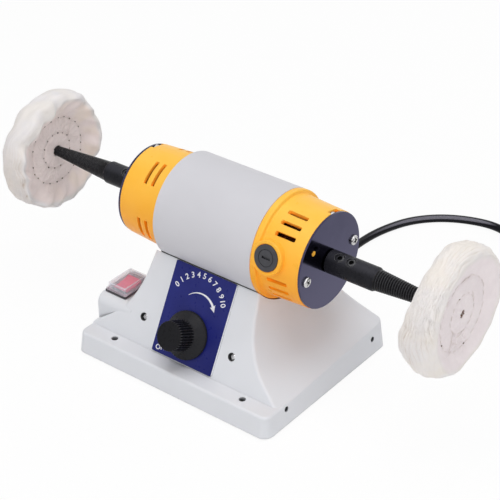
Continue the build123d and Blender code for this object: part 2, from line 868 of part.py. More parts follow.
with BuildPart() as armature_core:
    with BuildSketch(across(-core_half)):
        Circle(armature_radius)
        Circle(core_seat_radius + press_gap, mode=Mode.SUBTRACT)
        with PolarLocations((slot_root + slot_mouth) / 2, armature_slots):
            RectangleRounded(slot_mouth - slot_root, slot_width, 1.2, mode=Mode.SUBTRACT)
        with PolarLocations(slot_mouth, armature_slots):
            Rectangle(5, 0.45 * slot_width, mode=Mode.SUBTRACT)
    extrude(amount=2 * core_half)
armature_core.part.label = "armature_core"
export_step(armature_core.part, "parts/armature_core.step")

end_turn = 12.0
with BuildPart() as armature_winding:
    with BuildSketch(across(-core_half - 2)):
        with PolarLocations((slot_root + slot_mouth) / 2, armature_slots):
            RectangleRounded(
                slot_mouth - slot_root - 2 * slip_gap, slot_width - 2 * slip_gap, 0.9
            )
    extrude(amount=2 * core_half + 4)
    for side in (-1, 1):
        revolve(
            turned(
                (side * (core_half + slip_gap), core_seat_radius + slip_gap),
                (side * (core_half + slip_gap), slot_mouth),
                (side * (core_half + 0.6 * end_turn), slot_mouth),
                (side * (core_half + end_turn), 0.6 * slot_mouth),
                (side * (core_half + end_turn), core_seat_radius + slip_gap),
                rounds=(
                    ((side * (core_half + 0.6 * end_turn), slot_mouth), 3),
                    ((side * (core_half + end_turn), 0.6 * slot_mouth), 2),
                ),
            ),
            axis=spin,
        )
armature_winding.part.label = "armature_winding"
export_step(armature_winding.part, "parts/armature_winding.step")

bars_start = brush_x - commutator_length / 2
with BuildPart() as commutator:
    revolve(
        turned(
            (bars_start - 3, core_seat_radius + press_gap),
            (bars_start - 3, commutator_radius + 1.6),
            (bars_start, commutator_radius + 1.6),
            (bars_start, commutator_radius),
            (bars_start + commutator_length - 1.5, commutator_radius),
            (bars_start + commutator_length, commutator_radius - 1.5),
            (bars_start + commutator_length, core_seat_radius + press_gap),
        ),
        axis=spin,
    )
    with BuildSketch(across(bars_start - 4)):
        with PolarLocations(commutator_radius + 1, commutator_bars):
            Rectangle(4, 0.6, mode=Mode.ADD)
    extrude(amount=commutator_length + 8, mode=Mode.SUBTRACT)
commutator.part.label = "commutator"
export_step(commutator.part, "parts/commutator.step")

with BuildPart() as cooling_fan:
    revolve(
        turned(
            (fan_place, core_seat_radius + press_gap),
            (fan_place, fan_radius),
            (fan_place - 1.6, fan_radius),
            (fan_place - 2.4, core_seat_radius + 6),
            (fan_place - fan_width, core_seat_radius + 4),
            (fan_place - fan_width, core_seat_radius + press_gap),
        ),
        axis=spin,
    )
    with BuildSketch(across(fan_place - 1)):
        with PolarLocations((fan_radius + core_seat_radius + 4) / 2, fan_blades):
            Rectangle(fan_radius - core_seat_radius - 5, 1.5, rotation=18)
    extrude(amount=-(fan_width - 2), taper=2)
cooling_fan.part.label = "cooling_fan"
export_step(cooling_fan.part, "parts/cooling_fan.step")

race_inner = shaft_radius + bearing_ring
race_outer = bearing_radius - bearing_ring
with BuildPart() as bearing_outer_rings:
    for side in (-1, 1):
        start = side * (bearing_seat + touch_gap / 2)
        end = start + side * bearing_width
        revolve(
            turned(
                (start, race_inner + 0.5),
                (start, bearing_radius),
                (end, bearing_radius),
                (end, race_inner + 0.5),
                (end - side * 0.6, race_inner + 0.5),
                (end - side * 0.6, race_outer),
                (start + side * 0.6, race_outer),
                (start + side * 0.6, race_inner + 0.5),
            ),
            axis=spin,
        )
bearing_outer_rings.part.label = "bearing_outer_rings"
export_step(bearing_outer_rings.part, "parts/bearing_outer_rings.step")

with BuildPart() as bearing_inner_rings:
    for side in (-1, 1):
        start = side * (bearing_seat + touch_gap / 2)
        end = start + side * bearing_width
        revolve(
            turned(
                (start, shaft_radius + press_gap),
                (start, race_inner),
                (end, race_inner),
                (end, shaft_radius + press_gap),
            ),
            axis=spin,
        )
bearing_inner_rings.part.label = "bearing_inner_rings"
export_step(bearing_inner_rings.part, "parts/bearing_inner_rings.step")

# Spindles and buffs

land_height = sqrt(collar_radius**2 - set_screw_land**2) - touch_gap
nose_start = collar_start + collar_length
nose_root_radius = collar_radius - collar_chamfer
nose_slope = (nose_root_radius - nose_tip_radius) / (nose_tip - nose_start)


def nose_radius(x):
    """Radius of the tapered nose at a distance from the middle of the machine."""
    return nose_root_radius - nose_slope * (x - nose_start)


def spindle_form(side):
    """Collar with its blind bore and set screw holes, running out into the tapered nose."""
    with BuildPart() as form:
        revolve(
            turned(
                (side * collar_start, 0),
                (side * collar_start, collar_radius - 0.5),
                (side * (collar_start + 0.5), collar_radius),
                (side * (nose_start - 2 * collar_chamfer), collar_radius),
                (side * nose_start, nose_root_radius),
                (side * (nose_tip - 1), nose_radius(nose_tip - 1)),
                (side * nose_tip, nose_tip_radius - 1),
                (side * nose_tip, 0),
            ),
            axis=spin,
        )
        revolve(
            turned(
                (side * (collar_start - 1), 0),
                (side * (collar_start - 1), shaft_radius + press_gap),
                (side * (collar_start + shaft_in_collar + 1), shaft_radius + press_gap),
                (side * (collar_start + shaft_in_collar + 3), 0),
            ),
            axis=spin,
            mode=Mode.SUBTRACT,
        )
        for place in set_screw_places:
            with BuildSketch(facing(set_screw_angle, shaft_radius - 1)):
                with Locations((side * (collar_start + place), 0)):
                    Circle(set_screw_radius + press_gap)
            extrude(amount=collar_radius, mode=Mode.SUBTRACT)
            with BuildSketch(facing(set_screw_angle, land_height)):
                with Locations((side * (collar_start + place), 0)):
                    Circle(set_screw_land)
            extrude(amount=collar_radius, mode=Mode.SUBTRACT)
    return form.part


with BuildPart() as left_spindle:
    add(spindle_form(-1))
left_spindle.part.label = "left_spindle"
export_step(left_spindle.part, "parts/left_spindle.step")

with BuildPart() as right_spindle:
    add(spindle_form(1))
right_spindle.part.label = "right_spindle"
export_step(right_spindle.part, "parts/right_spindle.step")

set_screw_top = sqrt(collar_radius**2 - set_screw_radius**2)
with BuildPart() as set_screws:
    for side in (-1, 1):
        for place in set_screw_places:
            with BuildSketch(facing(set_screw_angle, shaft_radius + touch_gap)):
                with Locations((side * (collar_start + place), 0)):
                    Circle(set_screw_radius)
            extrude(amount=set_screw_top - shaft_radius - touch_gap)
            with BuildSketch(facing(set_screw_angle, set_screw_top)):
                with Locations((side * (collar_start + place), 0)):
                    RegularPolygon(0.62 * set_screw_radius, 6)
            extrude(amount=-0.6 * (set_screw_top - shaft_radius), mode=Mode.SUBTRACT)
set_screws.part.label = "set_screws"
export_step(set_screws.part, "parts/set_screws.step")


def buff_form(side):
    """Sewn buff: thin stitched hub, plies spreading to a soft rim, tapered hole for the nose."""
    inner = buff_place - buff_hub_half
    outer = buff_place + buff_hub_half
    flank = 0.62 * buff_radius
    rim = 0.9 * buff_radius
    ply = 2 * buff_rim_half / (buff_plies + 1)
    profile = [(inner, nose_radius(inner) + buff_gap)]
    for radius in stitch_radii:
        profile += [(inner, radius - 1), (inner + 0.7, radius), (inner, radius + 1)]
    profile += [(inner, flank), (buff_place - 0.9 * buff_rim_half, 0.8 * buff_radius)]
    profile += [(buff_place - buff_rim_half, rim)]
    for k in range(buff_plies):
        x = buff_place - buff_rim_half + ply * (k + 0.5)
        swell = sqrt(1 - ((x + ply / 2 - buff_place) / (buff_rim_half + 1)) ** 2)
        profile += [(x, rim + (buff_radius - rim) * 0.35 * swell)]
        profile += [(x + 0.3 * ply, rim + (buff_radius - rim) * swell)]
        profile += [(x + 0.7 * ply, rim + (buff_radius - rim) * swell)]
    profile += [(buff_place + buff_rim_half - 0.5 * ply, rim + (buff_radius - rim) * 0.35)]
    profile += [(buff_place + buff_rim_half, rim)]
    profile += [(buff_place + 0.9 * buff_rim_half, 0.8 * buff_radius), (outer, flank)]
    for radius in reversed(stitch_radii):
        profile += [(outer, radius + 1), (outer - 0.7, radius), (outer, radius - 1)]
    profile += [(outer, 0.5 * nose_tip_radius), (nose_tip + buff_gap, 0.5 * nose_tip_radius)]
    profile += [(nose_tip + buff_gap, nose_tip_radius + buff_gap)]
    with BuildPart() as form:
        revolve(turned(*[(side * x, r) for x, r in profile]), axis=spin)
    return form.part


with BuildPart() as left_buff:
    add(buff_form(-1))
left_buff.part.label = "left_buff"
export_step(left_buff.part, "parts/left_buff.step")

with BuildPart() as right_buff:
    add(buff_form(1))
right_buff.part.label = "right_buff"
export_step(right_buff.part, "parts/right_buff.step")

# Brushes


def biarc(start, start_way, end, end_way):
    """Two arcs that leave start and reach end along given directions, as one list of two edges."""
    chord = end - start
    both = start_way + end_way
    square = 2 * (start_way.dot(end_way) - 1)
    linear = -2 * chord.dot(both)
    reach = (-linear - sqrt(linear**2 - 4 * square * chord.dot(chord))) / (2 * square)
    first = start + start_way * reach
    second = end - end_way * reach
    joint = (first + second) * 0.5
    return [
        Edge.make_tangent_arc(start, start_way, joint),
        Edge.make_tangent_arc(joint, second - first, end),
    ]


def wound(points, ways):
    """Wire of biarcs through points with the given directions."""
    edges = []
    for k in range(len(points) - 1):
        edges += biarc(points[k], ways[k], points[k + 1], ways[k + 1])
    return Wire(edges)


brush_face = commutator_radius + slip_gap
brush_back = brush_face + brush_length
cover_under = cover_seat - cover_plug_length
spring_start = brush_back + touch_gap
spring_end = cover_under - touch_gap


def brush_form(turn):
    """Carbon brush hollowed to the commutator, with a chamfered tail."""
    with BuildPart() as form:
        with BuildSketch(facing(brush_angle + turn, brush_back)):
            with Locations((brush_x, 0)):
                Rectangle(brush_width, brush_depth)
        extrude(amount=-brush_length - 2)
        tail = facing(brush_angle + turn, 2 * brush_back).origin
        chamfer(form.faces().sort_by_distance(tail)[0].edges(), 0.6)
        with Locations((0, axis_y, axis_z)):
            Cylinder(brush_face, 4 * brush_x, rotation=(0, 90, 0), mode=Mode.SUBTRACT)
    return form.part


def spring_form(turn):
    """Coil spring between the brush and its cover."""
    frame = facing(brush_angle + turn, 0)
    rise = spring_end - spring_start - 2 * brush_wire
    steps = 4 * brush_spring_turns
    points = []
    ways = []
    for k in range(steps + 1):
        a = k * pi / 2
        height = spring_start + brush_wire + rise * k / steps
        climb = rise / brush_spring_turns / (2 * pi * brush_spring_radius)
        x = brush_x + brush_spring_radius * cos(a)
        y = brush_spring_radius * sin(a)
        points.append(frame.from_local_coords(Vector(x, y, height)))
        heading = Vector(-sin(a), cos(a), climb)
        way = frame.x_dir * heading.X + frame.y_dir * heading.Y + frame.z_dir * heading.Z
        ways.append(way.normalized())
    with BuildPart() as form:
        with BuildSketch(Plane(origin=points[0], z_dir=ways[0])):
            Circle(brush_wire / 2)
        sweep(path=wound(points, ways))
    return form.part


with BuildPart() as brush_front:
    add(brush_form(0))
brush_front.part.label = "brush_front"
export_step(brush_front.part, "parts/brush_front.step")

with BuildPart() as brush_rear:
    add(brush_form(180))
brush_rear.part.label = "brush_rear"
export_step(brush_rear.part, "parts/brush_rear.step")

with BuildPart() as brush_spring_front:
    add(spring_form(0))
brush_spring_front.part.label = "brush_spring_front"
export_step(brush_spring_front.part, "parts/brush_spring_front.step")

with BuildPart() as brush_spring_rear:
    add(spring_form(180))
brush_spring_rear.part.label = "brush_spring_rear"
export_step(brush_spring_rear.part, "parts/brush_spring_rear.step")

with BuildPart() as brush_holders:
    for turn in (0, 180):
        with BuildSketch(facing(brush_angle + turn, holder_inner)):
            with Locations((brush_x, 0)):
                Circle(holder_radius)
                Rectangle(brush_width + slip_gap, brush_depth + slip_gap, mode=Mode.SUBTRACT)
        extrude(amount=holder_outer - holder_inner)
brush_holders.part.label = "brush_holders"
export_step(brush_holders.part, "parts/brush_holders.step")

with BuildPart() as brush_covers:
    for turn in (0, 180):
        out = facing(brush_angle + turn, cover_seat)
        with BuildSketch(out):
            with Locations((brush_x, 0)):
                Circle(cover_radius)
        extrude(amount=cover_head)
        with BuildSketch(out):
            with Locations((brush_x, 0)):
                Circle(holder_radius - touch_gap)
        extrude(amount=-cover_plug_length)
        with BuildSketch(out.offset(cover_head)):
            with Locations((brush_x, 0)):
                Circle(0.65 * cover_radius)
                Circle(0.59 * cover_radius, mode=Mode.SUBTRACT)
        extrude(amount=-0.5, mode=Mode.SUBTRACT)
        with BuildSketch(out.offset(cover_head)):
            with Locations((brush_x, 0)):
                Rectangle(0.72 * cover_radius, 1.7)
        extrude(amount=-1.6, mode=Mode.SUBTRACT)
brush_covers.part.label = "brush_covers"
export_step(brush_covers.part, "parts/brush_covers.step")

# Control panel, potentiometer and knob

panel_top = axis_in_panel.Y - sqrt(saddle_radius**2 - axis_in_panel.Z**2)
panel_height = panel_top - 1 - panel_gap

with BuildPart() as control_panel:
    with BuildSketch(panel):
        with Locations((panel_shift, 1 + panel_height / 2)):
            RectangleRounded(panel_width, panel_height, 1.5)
        with Locations((knob_x, knob_rise)):
            Circle(pot_bush_radius + 2 * slip_gap, mode=Mode.SUBTRACT)
    extrude(amount=panel_thickness)
control_panel.part.label = "control_panel"
export_step(control_panel.part, "parts/control_panel.step")

bush_top = panel_thickness + pot_nut_height + 0.6
shaft_top = knob_height - 5
with BuildPart() as speed_pot:
    with BuildSketch(knob_plane.offset(-wall - touch_gap)):
        Circle(pot_radius)
    extrude(amount=-(pot_depth - 2 * touch_gap))
    chamfer(speed_pot.faces().sort_by_distance(panel.offset(-60).origin)[0].outer_wire().edges(), 1)
    with BuildSketch(knob_plane.offset(-wall - touch_gap)):
        Circle(pot_bush_radius)
    extrude(amount=wall + touch_gap + bush_top)
    with BuildSketch(knob_plane.offset(bush_top)):
        Circle(pot_shaft_radius + run_gap)
    extrude(amount=-(bush_top + wall + 0.6 * pot_depth), mode=Mode.SUBTRACT)
speed_pot.part.label = "speed_pot"
export_step(speed_pot.part, "parts/speed_pot.step")

with BuildPart() as pot_nut:
    with BuildSketch(knob_plane.offset(panel_thickness)):
        RegularPolygon(1.55 * pot_bush_radius, 6)
        Circle(pot_bush_radius + press_gap, mode=Mode.SUBTRACT)
    extrude(amount=pot_nut_height)
pot_nut.part.label = "pot_nut"
export_step(pot_nut.part, "parts/pot_nut.step")

with BuildPart() as pot_shaft:
    with BuildSketch(knob_plane.offset(-wall - 0.5 * pot_depth)):
        Circle(pot_shaft_radius)
    extrude(amount=wall + 0.5 * pot_depth + shaft_top)
    with BuildSketch(knob_plane.offset(bush_top + 2)):
        with Locations((0, 1.6 * pot_shaft_radius)):
            Rectangle(4 * pot_shaft_radius, 2 * pot_shaft_radius)
    extrude(amount=shaft_top, mode=Mode.SUBTRACT)
pot_shaft.part.label = "pot_shaft"
export_step(pot_shaft.part, "parts/pot_shaft.step")

knob_hollow = 1.55 * pot_bush_radius + 1.2
with BuildPart() as speed_knob:
    revolve(
        knob_turned(
            (0, knob_height),
            (0.72 * knob_grip_radius, knob_height),
            (0.76 * knob_grip_radius, knob_height - 0.6),
            (0.86 * knob_grip_radius, knob_height - 0.6),
            (0.9 * knob_grip_radius, knob_height),
            (knob_grip_radius - 0.5, knob_height),
            (knob_grip_radius, knob_height - 0.7),
            (knob_grip_radius + 0.5, 0.36 * knob_height),
            (0.74 * knob_skirt_radius, 0.28 * knob_height),
            (knob_skirt_radius - 0.9, 0.17 * knob_height),
            (knob_skirt_radius, 0.13 * knob_height),
            (knob_skirt_radius, knob_lift),
            (knob_hollow, knob_lift),
            (knob_hollow, bush_top + 2),
            (0, bush_top + 2),
        ),
        axis=knob_axis,
    )
    with BuildSketch(knob_plane.offset(0.36 * knob_height)):
        with PolarLocations(knob_grip_radius + 0.9, knob_flutes):
            Circle(1.3)
    extrude(amount=knob_height, mode=Mode.SUBTRACT)
    with BuildSketch(knob_plane.offset(bush_top)):
        Circle(pot_shaft_radius + press_gap)
        with Locations((0, 1.6 * pot_shaft_radius + press_gap)):
            Rectangle(4 * pot_shaft_radius, 2 * pot_shaft_radius, mode=Mode.SUBTRACT)
    extrude(amount=shaft_top + 0.5 - bush_top, mode=Mode.SUBTRACT)
speed_knob.part.label = "speed_knob"
export_step(speed_knob.part, "parts/speed_knob.step")

# Control board

board_front = -wall - pot_depth
board_back = board_front - board_thickness
board_rise = (knob_rise + front_screw_rise) / 2

with BuildPart() as control_board:
    with BuildSketch(panel.offset(board_front)):
        with Locations((0, board_rise)):
            RectangleRounded(board_length, board_height, 2)
        with Locations(*front_screw_places):
            Circle(front_screw_radius + touch_gap, mode=Mode.SUBTRACT)
    extrude(amount=-board_thickness)
control_board.part.label = "control_board"
export_step(control_board.part, "parts/control_board.step")

with BuildPart() as front_screws:
    with BuildSketch(panel.offset(-front_sink)):
        with Locations(*front_screw_places):
            Circle(front_head_radius)
    extrude(amount=front_head_height)
    with BuildSketch(panel.offset(-front_sink)):
        with Locations(*front_screw_places):
            Circle(front_screw_radius)
    extrude(amount=board_back + front_sink - 3.2)
front_screws.part.label = "front_screws"
export_step(front_screws.part, "parts/front_screws.step")

with BuildPart() as board_nuts:
    with BuildSketch(panel.offset(board_back)):
        with Locations(*front_screw_places):
            RegularPolygon(2.1 * front_screw_radius, 6)
            Circle(front_screw_radius + press_gap, mode=Mode.SUBTRACT)
    extrude(amount=-2.4)
board_nuts.part.label = "board_nuts"
export_step(board_nuts.part, "parts/board_nuts.step")

with BuildPart() as heat_sink:
    with BuildSketch(panel.offset(board_back)):
        with Locations((-0.22 * board_length, board_rise)):
            Rectangle(0.2 * board_length, 0.7 * board_height)
    extrude(amount=-16)
    with BuildSketch(panel.offset(board_back - 4)):
        with Locations((-0.22 * board_length, board_rise)):
            with GridLocations(0.04 * board_length, 1, 5, 1):
                Rectangle(0.02 * board_length, board_height)
    extrude(amount=-16, mode=Mode.SUBTRACT)
heat_sink.part.label = "heat_sink"
export_step(heat_sink.part, "parts/heat_sink.step")

with BuildPart() as film_capacitor:
    with BuildSketch(panel.offset(board_back)):
        with Locations((0.04 * board_length, board_rise + 0.22 * board_height)):
            RectangleRounded(0.18 * board_length, 0.26 * board_height, 1)
    extrude(amount=-13)
film_capacitor.part.label = "film_capacitor"
export_step(film_capacitor.part, "parts/film_capacitor.step")

with BuildPart() as choke_coil:
    with BuildSketch(panel.offset(board_back)):
        with Locations((0.25 * board_length, board_rise)):
            Circle(0.26 * board_height)
            Circle(0.12 * board_height, mode=Mode.SUBTRACT)
    extrude(amount=-8)
    fillet(choke_coil.edges(), 2)
choke_coil.part.label = "choke_coil"
export_step(choke_coil.part, "parts/choke_coil.step")

# Switch

bezel_top = turret_top + bezel_height
pivot_z = turret_top + 0.5 * bezel_height
well_width = rocker_width + 2 * slip_gap
rocker_reach = sqrt(rocker_half**2 + (0.3 * rocker_half) ** 2)
pin_radius = 1.2

with BuildPart() as switch_body:
    with BuildSketch(Plane.XY.offset(turret_top)):
        with Locations((switch_x, switch_y)):
            RectangleRounded(bezel_width, bezel_length, 1.5)
    extrude(amount=bezel_height)
    chamfer(switch_body.faces().sort_by(Axis.Z)[-1].edges(), 0.5)
    with BuildSketch(Plane.XY.offset(turret_top)):
        with Locations((switch_x, switch_y)):
            Rectangle(switch_hole_width - 2 * slip_gap, switch_hole_length - 2 * slip_gap)
    extrude(amount=-switch_depth)
    with BuildSketch(Plane.XY.offset(bezel_top)):
        with Locations((switch_x, switch_y)):
            Rectangle(well_width, 2 * rocker_reach + 2 * slip_gap)
    extrude(amount=-(bezel_height + 0.75 * rocker_half), mode=Mode.SUBTRACT)
    with Locations((switch_x, switch_y, pivot_z)):
        Cylinder(pin_radius + run_gap, well_width + 3, rotation=(0, 90, 0), mode=Mode.SUBTRACT)
switch_body.part.label = "switch_body"
export_step(switch_body.part, "parts/switch_body.step")

with BuildPart() as switch_terminals:
    with BuildSketch(Plane.XY.offset(turret_top - switch_depth)):
        with Locations((switch_x, switch_y)):
            with GridLocations(0.4 * bezel_width, 0.4 * bezel_length, 2, 2):
                Rectangle(0.8, 4.8)
    extrude(amount=-8)
switch_terminals.part.label = "switch_terminals"
export_step(switch_terminals.part, "parts/switch_terminals.step")

rocker_plane = Plane(
    origin=(switch_x, switch_y, pivot_z),
    x_dir=(0, cos(radians(rocker_tilt)), sin(radians(rocker_tilt))),
    z_dir=(1, 0, 0),
)
with BuildPart() as rocker:
    with BuildSketch(rocker_plane):
        with BuildLine():
            Polyline(
                (-rocker_half, 0.3 * rocker_half),
                (-0.5 * rocker_half, 0.22 * rocker_half),
                (0, 0.15 * rocker_half),
                (0.5 * rocker_half, 0.22 * rocker_half),
                (rocker_half, 0.3 * rocker_half),
                (0.9 * rocker_half, -0.12 * rocker_half),
                (0.25 * rocker_half, -0.45 * rocker_half),
                (-0.25 * rocker_half, -0.45 * rocker_half),
                (-0.9 * rocker_half, -0.12 * rocker_half),
                close=True,
            )
        make_face()
    extrude(amount=rocker_width / 2, both=True)
    with BuildSketch(rocker_plane):
        Circle(pin_radius)
    extrude(amount=well_width / 2 + 1.2, both=True)
rocker.part.label = "rocker"
export_step(rocker.part, "parts/rocker.step")

boot_flare = 10.0
with BuildPart() as switch_boot:
    with BuildSketch(Plane.XY.offset(bezel_top)):
        with Locations((switch_x, switch_y)):
            RectangleRounded(bezel_width - 0.6, bezel_length - 0.6, 1.5)
    extrude(amount=boot_wall)
    with BuildSketch(Plane.XY.offset(bezel_top)):
        with Locations((switch_x, switch_y)):
            RectangleRounded(bezel_width - 1.8, bezel_length - 2.2, 2)
    extrude(amount=boot_height, taper=boot_flare)
    fillet(switch_boot.faces().sort_by(Axis.Z)[-1].edges(), 0.8)
    with BuildSketch(Plane.XY.offset(bezel_top)):
        with Locations((switch_x, switch_y)):
            RectangleRounded(bezel_width - 1.8 - 2 * boot_wall, bezel_length - 2.2 - 2 * boot_wall, 1.2)
    extrude(amount=boot_height - boot_wall, taper=boot_flare, mode=Mode.SUBTRACT)
switch_boot.part.label = "switch_boot"
export_step(switch_boot.part, "parts/switch_boot.step")

# Mains cord

gland_face = base_depth / 2 + touch_gap
gland_end = gland_face + gland_tail
gland_inner = base_depth / 2 - flange_draft - wall - slip_gap
gland_axis = Axis((0, 0, gland_z), (0, 1, 0))

with BuildPart() as cord_gland:
    with BuildSketch(Plane.YZ):
        with BuildLine():
            Polyline(
                (gland_inner - 2.5, gland_z),
                (gland_inner - 2.5, gland_z + gland_hole_radius + 0.7),
                (gland_inner, gland_z + gland_hole_radius + 0.7),
                (gland_inner, gland_z + gland_hole_radius - touch_gap),
                (gland_face, gland_z + gland_hole_radius - touch_gap),
                (gland_face, gland_z + gland_hole_radius + 2),
                (gland_face + 2.5, gland_z + gland_hole_radius + 2),
                (gland_face + 3.5, gland_z + 1.9 * cord_radius),
                (gland_end, gland_z + 1.4 * cord_radius),
                (gland_end, gland_z),
                close=True,
            )
        make_face()
    revolve(axis=gland_axis)
    for k in range(4):
        place = gland_face + 0.3 * gland_tail + k * 0.16 * gland_tail
        with BuildSketch(Plane.YZ):
            with Locations((place, gland_z + 2.0 * cord_radius)):
                Rectangle(0.08 * gland_tail, 1.4 * cord_radius)
        revolve(axis=gland_axis, revolution_arc=150, mode=Mode.SUBTRACT)
        with BuildSketch(Plane.YZ):
            with Locations((place + 0.08 * gland_tail, gland_z - 2.0 * cord_radius)):
                Rectangle(0.08 * gland_tail, 1.4 * cord_radius)
        revolve(axis=gland_axis, revolution_arc=150, mode=Mode.SUBTRACT)
cord_gland.part.label = "cord_gland"
export_step(cord_gland.part, "parts/cord_gland.step")

coil_pitch = 2 * cord_radius + coil_gap
coil_low = cord_radius + coil_lift


def coil_place(turns):
    """Centre of the cord after some turns of the coil: in on the lower layer, out again on the upper one."""
    climb = 0.5
    a = radians(coil_start_angle) + 2 * pi * turns
    height = coil_low
    middle = coil_turns + climb / 2
    if turns > coil_turns + climb:
        height = coil_low + coil_pitch
    elif turns > coil_turns:
        height = coil_low + coil_pitch * (1 - cos(pi * (turns - coil_turns) / climb)) / 2
    inward = middle - abs(turns - middle)
    if abs(turns - middle) < climb / 2:
        inward = middle - climb / 4 - (turns - middle) ** 2 / climb
    radius = coil_outer - coil_pitch * inward
    return Vector(coil_middle[0] + radius * cos(a), coil_middle[1] + radius * sin(a), height)


coil_steps = round(4 * (2 * coil_turns + 0.5))
coil_points = []
coil_ways = []
for k in range(coil_steps + 1):
    coil_points.append(coil_place(k / 4))
    coil_ways.append((coil_place(k / 4 + 0.001) - coil_place(k / 4 - 0.001)).normalized())
coil_ways[0] = Vector(coil_ways[0].X, coil_ways[0].Y, 0).normalized()
coil_ways[-1] = Vector(coil_ways[-1].X, coil_ways[-1].Y, 0).normalized()
coil_entry = coil_points[0] - coil_ways[0] * 2 * cord_radius
coil_exit = coil_points[-1] + coil_ways[-1] * 3 * cord_radius
coil_path = Wire(
    [Edge.make_line(coil_entry, coil_points[0])]
    + wound(coil_points, coil_ways).edges()
    + [Edge.make_line(coil_points[-1], coil_exit)]
)

with BuildPart() as cord_coil:
    with BuildSketch(Plane(origin=coil_entry, z_dir=coil_ways[0])):
        Circle(cord_radius)
    sweep(path=coil_path)
cord_coil.part.label = "cord_coil"
export_step(cord_coil.part, "parts/cord_coil.step")

cord_start = Vector(0, gland_end, gland_z)
floor_z = cord_radius
cord_route = [
    cord_start,
    cord_start + Vector(0, 20, 0),
    Vector(-1.4, 150, floor_z + 0.4),
    Vector(-3.6, 182, floor_z),
    Vector(-2.6, 214, floor_z),
    Vector(8.0, 248, floor_z),
    Vector(36.0, 268.5, floor_z),
    Vector(68.0, 271.5, floor_z),
    coil_entry - coil_ways[0] * coil_lead,
    coil_entry,
]


def bend_radii(route):
    """Bend radius at each inner point: the largest that leaves a little straight on both its runs."""
    radii = []
    for before, here, after in zip(route, route[1:], route[2:]):
        turn = (here - before).get_angle(after - here)
        run = min((here - before).length, (after - here).length)
        radii.append(0.45 * run / tan(radians(turn) / 2))
    return radii


with BuildPart() as power_cord:
    with BuildLine() as cord_line:
        FilletPolyline(*cord_route, radius=bend_radii(cord_route))
    with BuildSketch(Plane(origin=cord_start, z_dir=(0, 1, 0))):
        Circle(cord_radius)
    sweep()
power_cord.part.label = "power_cord"
export_step(power_cord.part, "parts/power_cord.step")

tie_angle = coil_start_angle + 100
tie_radial = Vector(cos(radians(tie_angle)), sin(radians(tie_angle)), 0)
tie_inner = coil_outer - coil_pitch * (coil_turns + 0.3) - cord_radius - 1.2
tie_outer = coil_outer + cord_radius + 1.2
tie_low = coil_lift - 0.45
tie_high = coil_lift + coil_pitch + 2 * cord_radius + 0.45
tie_origin = Vector(*coil_middle, 0) + tie_radial * (tie_inner + tie_outer) / 2
tie_plane = Plane(origin=tie_origin, x_dir=tie_radial, z_dir=tie_radial.cross(Vector(0, 0, 1)))

with BuildPart() as coil_tie:
    with BuildSketch(tie_plane):
        with Locations((0, (tie_low + tie_high) / 2)):
            RectangleRounded(
                tie_outer - tie_inner + 2 * tie_thickness, tie_high - tie_low + 2 * tie_thickness, 3.4
            )
            RectangleRounded(tie_outer - tie_inner, tie_high - tie_low, 2.4, mode=Mode.SUBTRACT)
    extrude(amount=tie_width / 2, both=True)
coil_tie.part.label = "coil_tie"
export_step(coil_tie.part, "parts/coil_tie.step")

plug_plane = Plane(origin=coil_exit, x_dir=coil_ways[-1], z_dir=coil_ways[-1].cross(Vector(0, 0, 1)))
plug_axis = Axis(coil_exit, coil_ways[-1])
plug_face = Plane(origin=coil_exit + coil_ways[-1] * plug_length, x_dir=(0, 0, 1), z_dir=coil_ways[-1])

with BuildPart() as plug_body:
    with BuildSketch(plug_plane):
        with BuildLine():
            Polyline(
                (0, 0),
                (0, 1.35 * cord_radius),
                (0.3 * plug_length, 1.7 * cord_radius),
                (0.45 * plug_length, 0.8 * plug_radius),
                (0.6 * plug_length, plug_radius),
                (plug_length - 1, plug_radius),
                (plug_length, plug_radius - 1),
                (plug_length, 0),
                close=True,
            )
        make_face()
    revolve(axis=plug_axis)
plug_body.part.label = "plug_body"
export_step(plug_body.part, "parts/plug_body.step")

with BuildPart() as plug_pins:
    with BuildSketch(plug_face):
        with Locations((0.15 * plug_radius, -6.35), (0.15 * plug_radius, 6.35)):
            Rectangle(6.3, 1.5)
    extrude(amount=16)
    with BuildSketch(plug_face):
        with Locations((-0.55 * plug_radius, 0)):
            Circle(2.4)
    extrude(amount=19)
plug_pins.part.label = "plug_pins"
export_step(plug_pins.part, "parts/plug_pins.step")

print("cord bends", [round(r, 1) for r in bend_radii(cord_route)])
print("cord", round(cord_line.wire().length, 1), "volume", round(power_cord.part.volume))
print("section x length", round(pi * cord_radius**2 * cord_line.wire().length))
print("coil", round(coil_path.length, 1), "volume", round(cord_coil.part.volume))
print("section x length", round(pi * cord_radius**2 * coil_path.length))
samples = [coil_path.position_at(k / 1500) for k in range(1501)]
step = coil_path.length / 1500
far = [
    (samples[i] - samples[j]).length
    for i in range(0, 1501, 3)
    for j in range(i + int(60 / step), 1501, 3)
]
print("least gap of the coil to itself", round(min(far) - 2 * cord_radius, 2))
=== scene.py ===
"""Dressed scene of a bench polishing machine: a motor on a moulded base turns two cloth buffs.

Everything is in metres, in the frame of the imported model: x along the motor, y to the back, z up.
"""

from math import cos, pi, radians, sin, sqrt

import bmesh
import bpy
import numpy as np
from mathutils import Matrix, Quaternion, Vector


